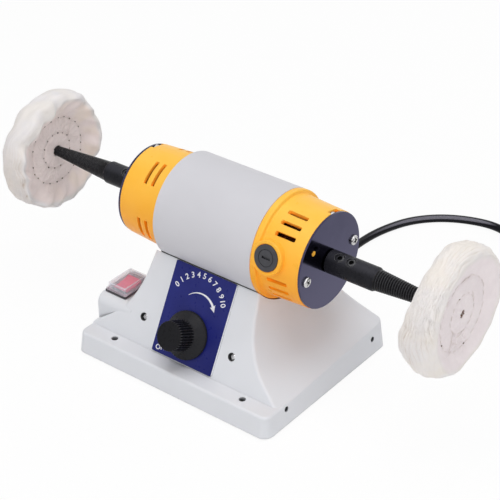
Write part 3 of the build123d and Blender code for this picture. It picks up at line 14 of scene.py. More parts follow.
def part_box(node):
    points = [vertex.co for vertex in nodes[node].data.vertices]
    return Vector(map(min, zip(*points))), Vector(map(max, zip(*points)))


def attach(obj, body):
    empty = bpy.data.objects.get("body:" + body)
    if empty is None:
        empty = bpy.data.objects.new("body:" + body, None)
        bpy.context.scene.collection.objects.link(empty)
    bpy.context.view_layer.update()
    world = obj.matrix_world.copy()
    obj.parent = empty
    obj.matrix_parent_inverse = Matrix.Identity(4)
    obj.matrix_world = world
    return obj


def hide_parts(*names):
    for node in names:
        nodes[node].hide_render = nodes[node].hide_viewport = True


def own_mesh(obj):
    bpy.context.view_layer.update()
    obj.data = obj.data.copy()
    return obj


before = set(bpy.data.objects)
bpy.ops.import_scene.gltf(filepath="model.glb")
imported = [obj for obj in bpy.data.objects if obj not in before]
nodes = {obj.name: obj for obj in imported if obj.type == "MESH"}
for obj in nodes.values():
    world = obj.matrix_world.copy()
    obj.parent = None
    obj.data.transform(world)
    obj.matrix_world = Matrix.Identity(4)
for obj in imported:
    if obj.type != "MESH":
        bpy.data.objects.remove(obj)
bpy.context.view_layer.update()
mm = 0.001
along_x = Vector((1, 0, 0))
along_y = Vector((0, 1, 0))


def placed(name, data):
    """New object of the scene."""
    made = bpy.data.objects.new(name, data)
    bpy.context.scene.collection.objects.link(made)
    return made


def aimed(name, data, place, target):
    """New camera or lamp at a place, looking at a target."""
    made = placed(name, data)
    made.location = place
    made.rotation_mode = "QUATERNION"
    made.rotation_quaternion = (target - place).to_track_quat("-Z", "Y")
    return made


# Camera

camera_place = Vector((0.6218, -0.7725, 0.7110))
camera_target = Vector((0.0090, 0.0110, 0.0875))
camera_roll = radians(-0.12)
camera_lens = 112.7

camera_data = bpy.data.cameras.new("camera")
camera_data.lens = camera_lens
camera = aimed("camera", camera_data, camera_place, camera_target)
camera.rotation_quaternion = camera.rotation_quaternion @ Quaternion((0, 0, 1), camera_roll)
bpy.context.scene.camera = camera

# Sizes taken over from the model

axis_y = 6.0 * mm
axis_z = 110.4 * mm
front_lean = radians(27.1)
panel_origin = Vector((0, -60.7, 18.8)) * mm
panel_thickness = 0.6 * mm
panel_half = 29.3 * mm
panel_shift = -0.9 * mm
knob_x = -1.9 * mm
knob_rise = 22.6 * mm
knob_skirt_radius = 18.5 * mm
knob_grip_radius = 11.4 * mm
knob_height = 24.0 * mm
knob_lift = 1.4 * mm
motor_end = 85.4 * mm
plate_screw_circle = 29.0 * mm
plate_screw_tilt = radians(7.0)
plate_head_radius = 3.9 * mm
plate_head_height = 2.4 * mm
front_screw_xs = (-44.9 * mm, 40.1 * mm)
front_screw_rise = 21.4 * mm
front_sink = 4.6 * mm
collar_radius = 9.0 * mm
collar_start = 86.0 * mm
set_screw_places = (9.9 * mm, 19.8 * mm)
set_screw_lean = radians(68.5)
nose_start = 127.2 * mm
nose_tip = 194.5 * mm
nose_root_radius = 8.0 * mm
nose_tip_radius = 3.2 * mm
buff_hub_half = 6.2 * mm
cord_radius = 3.5 * mm
gland_end = Vector((0, 101.4, 11.5)) * mm


def off_axis(x, angle, radius):
    """Place off the motor axis, its angle turned from the back upwards."""
    return Vector((x, axis_y + radius * cos(angle), axis_z + radius * sin(angle)))


# Node helpers

mix_one, mix_other, mix_result = 6, 7, 2  # places of the colour sockets on a mix node


def add(tree, kind, inputs=None, **settings):
    """New shader node. Each input is a value or another node's socket."""
    node = tree.nodes.new(kind)
    for name, value in settings.items():
        setattr(node, name, value)
    for name, value in (inputs or {}).items():
        if isinstance(value, bpy.types.NodeSocket):
            tree.links.new(value, node.inputs[name])
        else:
            node.inputs[name].default_value = value
    return node


def feed(node, socket, value):
    """Joins a value from another node to a socket."""
    value.id_data.links.new(value, node.inputs[socket])


def noise(place, size, detail=3.0, roughness=0.55):
    """Noise from 0 to 1 in blotches of about a size."""
    settings = {"Vector": place, "Scale": 1 / size, "Detail": detail, "Roughness": roughness}
    return add(place.id_data, "ShaderNodeTexNoise", settings).outputs["Fac"]


def ranged(value, low, high, start=0.0, end=1.0):
    """A value from low to high, stretched and clamped to start to end."""
    settings = {"Value": value, "From Min": low, "From Max": high, "To Min": start, "To Max": end}
    return add(value.id_data, "ShaderNodeMapRange", settings).outputs["Result"]


def mixed(share, one, other):
    """Colour between one and other by a share."""
    ends = [value if isinstance(value, bpy.types.NodeSocket) else (*value, 1) for value in (one, other)]
    settings = {"Factor": share, mix_one: ends[0], mix_other: ends[1]}
    return add(share.id_data, "ShaderNodeMix", settings, data_type="RGBA").outputs[mix_result]


def summed(kind, one, other=0.0):
    """Sum, product or other math of one or two values."""
    return add(one.id_data, "ShaderNodeMath", {0: one, 1: other}, operation=kind).outputs[0]


def coordinate(place, axis):
    """One coordinate of a place or direction."""
    return add(place.id_data, "ShaderNodeSeparateXYZ", {"Vector": place}).outputs[axis]


def mark(tree, name):
    """Share that the points of a mesh carry under a name."""
    return add(tree, "ShaderNodeAttribute", attribute_name=name).outputs["Fac"]


def way_out(tree, rounding=0.0):
    """Direction that the surface faces, or would face with rounded edges."""
    if not rounding:
        return add(tree, "ShaderNodeNewGeometry").outputs["Normal"]
    return add(tree, "ShaderNodeBevel", {"Radius": rounding}, samples=4).outputs["Normal"]


def openness(tree, reach):
    """Share that is 1 on open faces and less where walls are within reach."""
    return add(tree, "ShaderNodeAmbientOcclusion", {"Distance": reach}, samples=8).outputs["AO"]


def vector_math(kind, one, other=(0, 0, 0)):
    """Results of some math on one or two places or directions."""
    return add(one.id_data, "ShaderNodeVectorMath", {0: one, 1: other}, operation=kind).outputs


def facing(one, other, edge, core):
    """Share that rises as the cosine between two directions goes from edge to core."""
    return ranged(vector_math("DOT_PRODUCT", one, other)["Value"], edge, core)


def from_axis(place):
    """Distance of a place from the motor axis."""
    offset = vector_math("SUBTRACT", place, (0, axis_y, axis_z))[0]
    return vector_math("LENGTH", vector_math("MULTIPLY", offset, (0, 1, 1))[0])["Value"]


def bare(name, **shader):
    """New material: itself, its tree, its shader with some values set and the place on a piece."""
    material = bpy.data.materials.new(name)
    material.use_nodes = True
    tree = material.node_tree
    principled = tree.nodes["Principled BSDF"]
    for socket, value in shader.items():
        principled.inputs[socket.replace("_", " ").title().replace("Ior", "IOR")].default_value = value
    place = add(tree, "ShaderNodeTexCoord", name="place").outputs["Object"]
    return material, tree, principled, place


def reopened(material):
    """A finished material to add to: its tree, its shader, the place on a piece and its colour so far."""
    tree = material.node_tree
    principled = tree.nodes["Principled BSDF"]
    place = tree.nodes["place"].outputs["Object"]
    return tree, principled, place, principled.inputs["Base Color"].links[0].from_socket


def bumped(principled, height, depth, rounding=0.0):
    """Relief of a given depth, on edges softened to a given rounding."""
    tree = height.id_data
    settings = {"Height": height, "Distance": depth}
    if rounding:
        settings["Normal"] = way_out(tree, rounding)
    feed(principled, "Normal", add(tree, "ShaderNodeBump", settings).outputs["Normal"])


def dressed(material, names):
    """Gives the named nodes a material and returns it."""
    for name in names:
        nodes[name].data.materials.clear()
        nodes[name].data.materials.append(material)
    return material


def finish(name, light, dark, roughness, sizes, rounding=0.4, uneven=0.08, low=None, worn=None,
           painted_sheen=None, hole=None, on=(), **shader):
    """Moulded, painted or metal surface: two near colours in patches, fine grain, uneven gloss, soft edges.

    Sizes are the breadth of the patches and the breadth and depth of the grain. Lengths are in millimetres.
    low is (bottom, top, tint at the bottom). A sheen, (colour, way it faces, two cosines), paints a highlight
    on faces that look that way.
    hole is (reach, colour): where walls are within reach, painted shade, and on the bezel painted light. A
    highlight colour, laid where the piece marks it, paints highlights and rubbed crests.
    """
    material, tree, principled, place = bare(name, **shader)
    patch, grain, depth = (size * mm for size in sizes)
    colour = mixed(ranged(noise(place, patch), 0.35, 0.65), dark, light)
    if low:
        bottom, top, tint = low
        height = coordinate(place, "Z")
        colour = mixed(ranged(height, bottom * mm, top * mm), tint, colour)
    # Painted highlights, partly rubbed crests: the highlight colour goes where the piece's mark says.
    if worn:
        colour = mixed(mark(tree, "wear_and_highlight"), colour, worn)
    # Painted highlight: faces that look the given way turn to the sheen's colour.
    if painted_sheen:
        sheen_colour, way, edge, core = painted_sheen
        colour = mixed(facing(way_out(tree), way, edge, core), colour, sheen_colour)
    # Painted shade in holes and recesses: where walls are within reach the colour turns to the hole's colour.
    if hole:
        reach, painted_recess_colour = hole
        colour = mixed(ranged(openness(tree, reach * mm), 0.38, 0.72), painted_recess_colour, colour)
    feed(principled, "Base Color", colour)
    gloss = ranged(noise(place, patch / 4), 0.3, 0.7, roughness - uneven, roughness + uneven)
    feed(principled, "Roughness", gloss)
    bumped(principled, noise(place, grain, detail=2.0), depth, rounding * mm)
    return dressed(material, on)


def lit_from_within(material, reach, glow, painted_recess_colour, inner, outer):
    """Paints a glow at the mouths of a cap's slots, standing in for light bouncing in them, and painted shade
    further in.
    """
    tree, principled, place, colour = reopened(material)
    slot_open = 0.66
    free = openness(tree, reach)
    mouth = ranged(from_axis(place), inner, outer)
    # Painted light: orange glow where slot walls close in, near the outer surface.
    lit = mixed(ranged(free, slot_open, 0.30), (0, 0, 0), mixed(mouth, (0, 0, 0), glow))
    feed(principled, "Emission Color", lit)
    principled.inputs["Emission Strength"].default_value = 1.0
    # Painted shade deeper in the slots.
    deep = summed("MULTIPLY", ranged(free, slot_open, 0.40), ranged(mouth, 1, 0))
    feed(principled, "Base Color", mixed(deep, colour, painted_recess_colour))


def clear_vinyl():
    """Clear moulding with a milky tint, its white shown more on its sides than on top and most along its
    edges: painted reflection and painted edge highlights.
    """
    material, tree, principled, place = bare("boot_vinyl", roughness=0.12, specular_ior_level=0.6)
    feed(principled, "Base Color", mixed(noise(place, 6 * mm), (0.78, 0.79, 0.88), (0.84, 0.85, 0.92)))
    # Painted reflection and painted edge highlights: the milky white shows more on the sides and along the
    # edges, less near the foot.
    upright = summed("ABSOLUTE", coordinate(way_out(tree), "Z"))
    body = ranged(upright, 0.96, 0.5, 0.17, 0.28)
    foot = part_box("switch_boot")[0][2]
    height = coordinate(place, "Z")
    above_foot = ranged(height, foot + 1.2 * mm, foot + 2.4 * mm, 0.12, 0.85)
    edges = facing(way_out(tree, 1.5 * mm), way_out(tree), 0.995, 0.88)
    feed(principled, "Alpha", summed("MAXIMUM", body, summed("MULTIPLY", edges, above_foot)))
    bumped(principled, noise(place, 0.8 * mm), 0.01 * mm)
    return material


def label_print():
    """Blue print with pale margins at both sides, and painted shade that darkens it towards the lower right
    for the knob's reflection.
    """
    material, _, principled, place = bare("label_print", specular_ior_level=0.18)
    across, height = coordinate(place, "X"), coordinate(place, "Z")
    off_middle = summed("ABSOLUTE", summed("SUBTRACT", across, panel_shift))
    margin = ranged(off_middle, panel_half - 0.75 * mm, panel_half - 0.65 * mm)
    patches = ranged(noise(place, 18 * mm), 0.3, 0.7)
    blue = mixed(patches, (0.012, 0.016, 0.140), (0.017, 0.022, 0.172))
    # Painted reflection: darker towards the lower right, where the knob is mirrored.
    rightward, downward = ranged(across, -2 * mm, 26 * mm), ranged(height, 58 * mm, 24 * mm)
    blue = mixed(summed("MULTIPLY", rightward, downward), blue, (0.005, 0.008, 0.112))
    feed(principled, "Base Color", mixed(margin, blue, (0.74, 0.75, 0.80)))
    feed(principled, "Roughness", ranged(noise(place, 4 * mm), 0.3, 0.7, 0.26, 0.36))
    bumped(principled, noise(place, 7 * mm, detail=0.0), 0.006 * mm)
    return material


wave_spacing = 0.314  # between the bands of Blender's wave texture at a scale of 1


def cotton(name, light, dark, weave=0.75 * mm):
    """Unbleached cotton: crossed threads, fuzz and warm patches."""
    material, tree, principled, place = bare(name, sheen_weight=0.15, sheen_roughness=0.5, roughness=0.92)
    settings = {"Vector": place, "Scale": wave_spacing / weave, "Distortion": 1.2, "Detail Scale": 3.0}
    bands = [add(tree, "ShaderNodeTexWave", settings, bands_direction=way).outputs["Fac"] for way in "YZ"]
    threads = summed("ADD", *bands)
    fuzz = noise(place, 1.6 * mm, detail=5.0, roughness=0.7)
    patches = noise(place, 16 * mm, detail=4.0)
    colour = mixed(ranged(patches, 0.36, 0.64), dark, light)
    shade = summed("MULTIPLY", ranged(fuzz, 0.62, 0.38), 0.35)
    feed(principled, "Base Color", mixed(shade, colour, dark))
    relief = summed("ADD", summed("MULTIPLY", threads, 0.35), fuzz)
    bumped(principled, relief, 0.05 * mm)
    return material


def buff_cloth(name, face_light, face_dark, rim_warm, rim_cool, on):
    """Cloth of a wheel: its face, its colours at the rim and in tan patches, painted shade in the creases and
    inside the torn slit.
    """
    material = cotton(name, face_light, face_dark)
    tree, principled, place, colour = reopened(material)
    tint = ranged(noise(place, 22 * mm, detail=2.0), 0.38, 0.62)
    colour = mixed(mark(tree, "tan"), colour, (0.95, 0.82, 0.71))
    colour = mixed(mark(tree, "rim"), colour, mixed(tint, rim_warm, rim_cool))
    # Painted shade: darker brown-beige in the ply gaps, crumples and puckers.
    colour = mixed(mark(tree, "crease_shade"), colour, (0.62, 0.52, 0.45))
    # Painted shade: dark brown inside the torn slit, which is only a shallow dent.
    colour = mixed(mark(tree, "torn"), colour, (0.13, 0.05, 0.025))
    feed(principled, "Base Color", colour)
    return dressed(material, on)


# Finishes, each with the nodes that it is on

# The hole colour paints shade: near black in holes and crevices where walls are close.
finish("base_paint", (0.715, 0.727, 0.765), (0.695, 0.708, 0.745), 0.42, (60, 1.1, 0.03), rounding=0.8,
       hole=(7, (0.02, 0.02, 0.022)), on=["base_shell"])
finish("tube_paint", (0.62, 0.615, 0.65), (0.60, 0.595, 0.63), 0.42, (50, 0.9, 0.008), rounding=0,
       specular_ior_level=0.2, on=["motor_tube"])
# The low tint paints shade: the caps turn deeper orange towards their bottoms.
cap_plastic = finish("cap_plastic", (0.995, 0.57, 0.085), (0.985, 0.54, 0.065), 0.34, (25, 0.6, 0.01),
                     rounding=0.5, low=(76, 148, (0.995, 0.345, 0.002)), specular_ior_level=0.18,
                     on=["right_end_cap", "left_end_cap"])
# Painted light: a glow at the slot mouths, with painted shade deeper in.
lit_from_within(cap_plastic, 5 * mm, (0.42, 0.085, 0.0), (0.060, 0.012, 0.002), 33.8 * mm, 36.0 * mm)
finish("plate_metal", (0.058, 0.055, 0.106), (0.052, 0.049, 0.097), 0.12, (12, 0.3, 0.001), rounding=0,
       uneven=0.03, low=(86, 132, (0.073, 0.069, 0.126)), metallic=1.0,
       on=["right_end_plate", "left_end_plate"])
# The sheen paints a lighter top on the collars and screws: a painted highlight.
black_steel = finish("black_steel", (0.015, 0.015, 0.019), (0.011, 0.011, 0.014), 0.30, (9, 0.35, 0.002),
                     rounding=0, painted_sheen=((0.036, 0.036, 0.044), (0.22, -0.36, 0.91), 0.80, 0.99),
                     specular_ior_level=0.09,
                     on=["set_screws", "side_screws", "left_spindle", "right_spindle"])
# The highlight colour paints bright thread crests: painted highlights, partly rubbed metal.
thread_steel = finish("thread_steel", (0.006, 0.006, 0.007), (0.004, 0.004, 0.005), 0.26, (9, 0.35, 0.002),
                      rounding=0, worn=(0.036, 0.036, 0.041), specular_ior_level=0.14)
# The hole colour paints shade into the hexagon sockets.
socket_steel = finish("socket_steel", (0.030, 0.030, 0.034), (0.020, 0.020, 0.023), 0.24, (3, 0.3, 0.002),
                      rounding=0, hole=(3, (0.002, 0.002, 0.002)), metallic=0.3)
rim_steel = finish("rim_steel", (0.030, 0.030, 0.035), (0.022, 0.022, 0.026), 0.28, (3, 0.3, 0.002),
                   rounding=0, metallic=0.4)
# The hole colour paints shade into the cross recesses.
screw_steel = finish("screw_steel", (0.62, 0.61, 0.60), (0.50, 0.50, 0.50), 0.26, (3, 0.25, 0.002),
                     rounding=0, hole=(2.4, (0.012, 0.012, 0.012)), metallic=1.0,
                     on=["board_nuts", "motor_screws", "plate_screws", "through_bolts", "bolt_nuts",
                         "pot_nut"])
# The highlight colour paints highlight lines on the flutes and end, and a lighter skirt.
knob_plastic = finish("knob_plastic", (0.005, 0.005, 0.007), (0.004, 0.004, 0.005), 0.30, (8, 0.35, 0.002),
                      rounding=0, worn=(0.065, 0.065, 0.07), specular_ior_level=0.06, on=["speed_knob"])
finish("cover_plastic", (0.034, 0.034, 0.042), (0.024, 0.024, 0.030), 0.42, (6, 0.35, 0.012),
       on=["brush_covers"])
# The saddle liner's black is partly its own and partly the painted shade of the gap under the tube.
finish("black_rubber", (0.018, 0.018, 0.019), (0.010, 0.010, 0.011), 0.68, (6, 0.4, 0.02),
       on=["rubber_feet", "coil_tie", "saddle_liner"])
# The sheen paints a highlight streak along the cord's upper front.
cord_rubber = finish("cord_rubber", (0.007, 0.007, 0.010), (0.005, 0.005, 0.007), 0.22, (14, 0.5, 0.002),
                     rounding=0, painted_sheen=((0.16, 0.155, 0.185), (0.423, -0.533, 0.733), 0.85, 0.93),
                     specular_ior_level=0.10, on=["cord_gland", "power_cord", "cord_coil", "plug_body"])
# The hole colour paints light: pale pink where walls are close round the rocker.
finish("bezel_plastic", (0.028, 0.028, 0.032), (0.018, 0.018, 0.021), 0.40, (6, 0.35, 0.01),
       hole=(3.2, (0.55, 0.40, 0.47)), on=["switch_body"])
finish("zinc_sheet", (0.55, 0.55, 0.56), (0.44, 0.44, 0.46), 0.40, (9, 0.8, 0.006), metallic=0.9,
       on=["base_plate", "switch_terminals", "brush_holders"])
finish("core_steel", (0.34, 0.33, 0.32), (0.22, 0.21, 0.20), 0.42, (5, 0.5, 0.01), metallic=0.9,
       on=["stator_core", "armature_core"])
bright_steel = finish("bright_steel", (0.66, 0.66, 0.67), (0.56, 0.56, 0.58), 0.22, (6, 0.3, 0.003),
                      metallic=1.0,
                      on=["bearing_outer_rings", "bearing_inner_rings", "rotor_shaft", "pot_shaft",
                          "brush_spring_front", "brush_spring_rear", "front_screws"])
finish("copper_wire", (0.62, 0.25, 0.10), (0.44, 0.16, 0.06), 0.34, (3, 0.5, 0.05), metallic=0.85,
       on=["field_coils", "armature_winding", "commutator"])
finish("brass_metal", (0.68, 0.50, 0.20), (0.55, 0.38, 0.14), 0.30, (4, 0.3, 0.004), metallic=1.0,
       on=["plug_pins"])
finish("carbon_block", (0.030, 0.030, 0.030), (0.018, 0.018, 0.018), 0.55, (2, 0.2, 0.01),
       on=["brush_front", "brush_rear"])
finish("board_resin", (0.05, 0.16, 0.07), (0.03, 0.11, 0.045), 0.38, (9, 0.4, 0.01), on=["control_board"])
finish("sink_metal", (0.60, 0.60, 0.62), (0.50, 0.50, 0.52), 0.34, (6, 0.4, 0.006), metallic=1.0,
       on=["speed_pot", "heat_sink"])
finish("capacitor_film", (0.45, 0.10, 0.04), (0.34, 0.07, 0.03), 0.35, (5, 0.5, 0.01), on=["film_capacitor"])
finish("choke_wire", (0.50, 0.22, 0.06), (0.36, 0.14, 0.04), 0.38, (3, 0.4, 0.02), metallic=0.6,
       on=["choke_coil"])
finish("fan_plastic", (0.05, 0.05, 0.055), (0.035, 0.035, 0.04), 0.45, (8, 0.4, 0.01), on=["cooling_fan"])
finish("rocker_plastic", (0.88, 0.016, 0.140), (0.80, 0.014, 0.122), 0.32, (5, 0.5, 0.008), on=["rocker"])
white_ink = finish("white_ink", (0.83, 0.83, 0.86), (0.76, 0.76, 0.80), 0.40, (4, 0.4, 0.002), rounding=0)
dressed(clear_vinyl(), ["switch_boot"])
label_blue = dressed(label_print(), ["control_panel"])
left_cotton = buff_cloth("left_cotton", (0.955, 0.845, 0.815), (0.885, 0.77, 0.745), (0.80, 0.76, 0.73),
                         (0.79, 0.765, 0.775), on=["left_buff"])
right_cotton = buff_cloth("right_cotton", (0.91, 0.835, 0.845), (0.87, 0.79, 0.805), (0.85, 0.80, 0.75),
                          (0.83, 0.797, 0.79), on=["right_buff"])
stitch_cotton = cotton("stitch_cotton", (0.84, 0.77, 0.74), (0.74, 0.66, 0.63), weave=0.3 * mm)
# Needle holes are dark strands: their brown paints the shade inside the holes.
needle_hole_shade = cotton("needle_hole_shade", (0.22, 0.155, 0.12), (0.13, 0.09, 0.07), weave=0.3 * mm)


# Mesh helpers


def clamped(value):
    """A value kept between 0 and 1."""
    return min(max(value, 0), 1)


def lattice(rows, columns, wrap_rows=False, wrap_columns=False):
    """Faces of a grid of points, which may close on itself in either direction."""
    faces = []
    for i in range(rows if wrap_rows else rows - 1):
        for j in range(columns if wrap_columns else columns - 1):
            k, m = (i + 1) % rows, (j + 1) % columns
            faces.append((i * columns + j, i * columns + m, k * columns + m, k * columns + j))
    return faces


def closed_rings(rows, sides):
    """Faces between rings of points, closed over the first and the last."""
    first = tuple(reversed(range(sides)))
    last = tuple(range((rows - 1) * sides, rows * sides))
    return lattice(rows, sides, wrap_columns=True) + [first, last]


def ring(middle, one, other, radius, sides):
    """Points round a middle, at a radius or at a function of the angle."""
    points = []
    for k in range(sides):
        a = 2 * pi * k / sides
        r = radius(a) if callable(radius) else radius
        points.append(middle + one * r * cos(a) + other * r * sin(a))
    return points


def joined(shapes):
    """One list of points and one of faces from several such pairs."""
    points, faces = [], []
    for more, around in shapes:
        start = len(points)
        points.extend(more)
        faces.extend(tuple(start + k for k in face) for face in around)
    return points, faces


def strand(path, radius, sides=5):
    """Closed round thread along a path of points."""
    points = []
    for i, here in enumerate(path):
        way = (path[min(i + 1, len(path) - 1)] - path[max(i - 1, 0)]).normalized()
        one = way.orthogonal().normalized()
        points += ring(here, one, way.cross(one), radius, sides)
    return points, closed_rings(len(path), sides)


def piece(name, shape, material, body, replaced=(), smooth=True, crisp=None):
    """New piece from points and faces, riding on a body, crisp at edges past some degrees."""
    mesh = bpy.data.meshes.new(name)
    mesh.from_pydata([tuple(p) for p in shape[0]], [], shape[1])
    work = bmesh.new()
    work.from_mesh(mesh)
    bmesh.ops.recalc_face_normals(work, faces=work.faces)
    work.to_mesh(mesh)
    work.free()
    if smooth:
        mesh.shade_smooth()
    if crisp:
        mesh.set_sharp_from_angle(angle=radians(crisp))
    mesh.materials.append(material)
    made = placed(name, mesh)
    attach(made, body)
    if replaced:
        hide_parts(*replaced)
    return made


def marked(made, name, shares):
    """Stores a share at every point of a piece, for its material."""
    values = made.data.attributes.new(name, "FLOAT", "POINT")
    values.data.foreach_set("value", np.ascontiguousarray(shares, dtype=np.float32).ravel())


# Cloth buffs: stacks of sewn cotton plies, cupped and creased at the rim

buff_place = 189.6 * mm
buff_top = 49.6 * mm
buff_flat = 29.5 * mm
buff_plies = 10
buff_bore = 4.3 * mm
buff_middle = 0.4 * mm
buff_swell = 0.2 * mm
nose_gap = 0.3 * mm
buff_angles = np.linspace(0, 2 * pi, 420, endpoint=False)
near_waves = (4, 7, 10, 14, 19)
far_waves = (5, 8, 12, 17)
all_round = 1e6  # half width of a bump that is as high everywhere
on_face_from = 0.995  # place across the rim past which the cloth belongs to a face
lining = 2  # stands for that place where the profile goes round the spindle's nose

gap_depth = 0.4 * mm
split_share = 1.4
rim_swell = 0.3 * mm
face_swell = 0.2 * mm
crumple_depth = 0.7 * mm
pucker_depth = 1.0 * mm
pucker_radius = 22 * mm
pucker_reach = 10 * mm
tan_radius = 26.5 * mm
tan_fade = 6 * mm
torn_depth = 0.7 * mm

stitch_radii = (15.0 * mm, 28.0 * mm)
stitch_counts = (15, 24)
groove_depth = 0.7 * mm
groove_reach = 1.5 * mm
stitch_sink = 0.55 * mm
stitch_arch = 0.30 * mm
thread_radius = 0.17 * mm
jump_lift = 0.12 * mm
jump_arch = 0.25 * mm
jump_bow = 5  # degrees


def hump(value, middle, reach):
    """Soft hump, 1 high at its middle."""
    return np.exp(-(((value - middle) / reach) ** 2))


def degrees_from(at, angles):
    """Angles as degrees to either side of one."""
    return (np.degrees(angles) - at + 180) % 360 - 180


def lobes(bumps, angles):
    """Sum of soft bumps around a wheel from (angle in degrees, half width in degrees, height)."""
    total = np.zeros_like(angles)
    for at, width, height in bumps:
        total += height * hump(degrees_from(at, angles), 0, width)
    return total


def ripple(angles, along, seed, waves, share=0.5):
    """Smooth random waviness around and along a wheel, about 1 high."""
    dice = np.random.default_rng(seed)
    total = np.zeros(np.broadcast(angles, along).shape)
    for wave in waves:
        turn, phase = dice.uniform(-1, 1), dice.uniform(0, 2 * pi)
        total += np.sin(wave * angles + share * wave * turn * along + phase) / sqrt(len(waves))
    return total


def veins(angles, along, seed, waves, share, sharpness):
    """Thin random lines on a wheel, 1 along each line and 0 between them."""
    return np.clip(1 - np.abs(ripple(angles, along, seed, waves, share)), 0, 1) ** sharpness


def eased(value):
    """Smooth step from 0 to 1."""
    t = np.clip(value, 0, 1)
    return t * t * (3 - 2 * t)


def buff_profile(look):
    """Grid around a wheel: w off its middle plane, r from its axis, s across the rim, and share of rim.

    The near face, where s is -1, looks to the motor, and the far one, where it is 1, away from it.
    """
    a = buff_angles[None, :]
    seed = look["seed"]
    rows = []

    def row(w, r, s, rim):
        rows.append([value + 0 * a for value in (w, r, s, rim)])

    def uneven(key):
        height, bumps = look[key]
        return lobes(((0, all_round, height), *bumps), a)

    flare, back, near, far = (uneven(key) * mm for key in ("flare", "back", "near_edge", "far_edge"))
    top = buff_top + uneven("top") * mm + buff_swell * ripple(a, 0 * a, seed, (3, 5, 8, 13))
    near_round, far_round = uneven("near_round"), uneven("far_round")
    near_crease, far_crease = look["near_crease"] * mm, look["far_crease"] * mm
    for r in np.linspace(buff_bore, buff_flat, 40):
        row(-buff_hub_half, r, -1, 0)
    for q in np.linspace(0.03, 1, 46):
        crease = near_crease * eased(1.6 * q) * ripple(a, q, seed + 1, near_waves)
        w = -buff_hub_half - flare * eased(q) ** 0.8 + crease
        row(w, buff_flat + (near - buff_flat) * q, -1, eased(3.2 * q - 2.3))
    near_w = -buff_hub_half - flare + near_crease * ripple(a, 1.0, seed + 1, near_waves)
    far_w = buff_hub_half + back + far_crease * ripple(a, 1.0, seed + 2, far_waves)
    for s in np.linspace(-0.99, 0.99, 150):
        share = (s + 1) / 2
        edge = near * (1 - share) + far * share
        fall = abs(s) ** (near_round if s < 0 else far_round)
        row(near_w * (1 - share) + far_w * share, edge + (top - edge) * (1 - fall), s, 1)
    for q in np.linspace(1, 0.03, 46):
        crease = far_crease * eased(q) * ripple(a, q, seed + 2, far_waves)
        w = buff_hub_half + back * eased(q) ** 0.8 + crease
        row(w, buff_flat + (far - buff_flat) * q, 1, eased(2.2 * q - 1.4))
    for r in np.linspace(buff_flat, buff_middle, 40):
        row(buff_hub_half, r, 1, 0)
    tip = nose_tip - buff_place + nose_gap
    for w, r in ((tip, buff_middle), (tip, nose_tip_radius), (1 * mm - buff_hub_half, buff_bore - 0.1 * mm)):
        row(w, r, lining, 0)
    return (np.concatenate(values) for values in zip(*rows))


def torn_hole(look, r, s):
    """Share that is 1 inside the torn slit in the middle of a wheel's far face."""
    if "slit" not in look:
        return 0 * r
    long, short, tilt = look["slit"]
    a = buff_angles[None, :] - radians(tilt)
    inside = np.hypot(r * np.cos(a) / (long * mm), r * np.sin(a) / (short * mm))
    return eased((1.25 - inside) * 3) * (s > on_face_from) * (s < lining)


def buff_relief(look, r, s):
    """How far the cloth stands off its profile, and its marks."""
    a = buff_angles[None, :] + 0 * s
    seed = look["seed"]
    on_rim = eased((1 - np.abs(s)) * 9) * (s < lining)
    on_face = (np.abs(s) > on_face_from) * (s < lining)
    drift = 0.6 * ripple(a, s, seed + 3, (2, 3, 5, 7)) + 0.10 * ripple(a, 2 * s, seed + 4, (11, 15, 21))
    ply = np.abs(np.sin(pi * (buff_plies * (s + 1) / 2 + drift)))
    patch = ripple(a, 1.5 * s, seed + 5, (2, 3, 5, 8)) + lobes(look["worn"], a)
    gap = on_rim * np.clip(0.25 + 0.5 * patch, 0, 1) * (1 - ply) ** 3
    for at, across, wide, long in look["splits"]:
        split = split_share * hump(degrees_from(at, a), 0, long) * hump(s, across, wide)
        gap = np.maximum(gap, split * (np.abs(s) < on_face_from))
    lines = veins(a, 2 * s, seed + 9, (6, 9, 14, 20, 27, 37), 1.6, 4)
    crumple = on_rim * np.clip(lobes(look["crumple"], a), 0, 1.2) * lines
    lines = veins(a, r / (5 * mm), seed + 10, (9, 13, 18, 26, 33), 0.16, 3)
    pucker = on_face * np.clip(lobes(look["pucker"], a), 0, 1.2) * lines
    pucker *= hump(r, pucker_radius, pucker_reach)
    torn = torn_hole(look, r, s)
    relief = -gap_depth * gap - crumple_depth * crumple - pucker_depth * pucker - torn_depth * torn
    relief += rim_swell * on_rim * ripple(a, 1.3 * s, seed + 6, (5, 8, 12, 18), 1.2)
    relief += face_swell * on_face * ripple(a, r / (9 * mm), seed + 7, (3, 5, 7, 10, 14), 1.0)
    for radius in stitch_radii:
        relief -= groove_depth * on_face * hump(r, radius, groove_reach)
    tan = on_face * eased((r - tan_radius) / tan_fade) * lobes(look["tan"], a) * (s < 0)
    tan *= np.clip(0.55 + 0.75 * ripple(a, r / (16 * mm), seed + 8, (5, 7, 10, 14)), 0, 1)
    # The crease shade paints shade into the ply gaps, crumples and puckers; the rim darkening arcs darken the
    # rim with the same colour.
    crease_shade = 0.42 * gap + 0.12 * crumple + 0.12 * pucker + on_rim * lobes(look["rim_darkening"], a)
    return relief, {"crease_shade": np.clip(crease_shade, 0, 1), "tan": 0.7 * tan, "torn": torn}


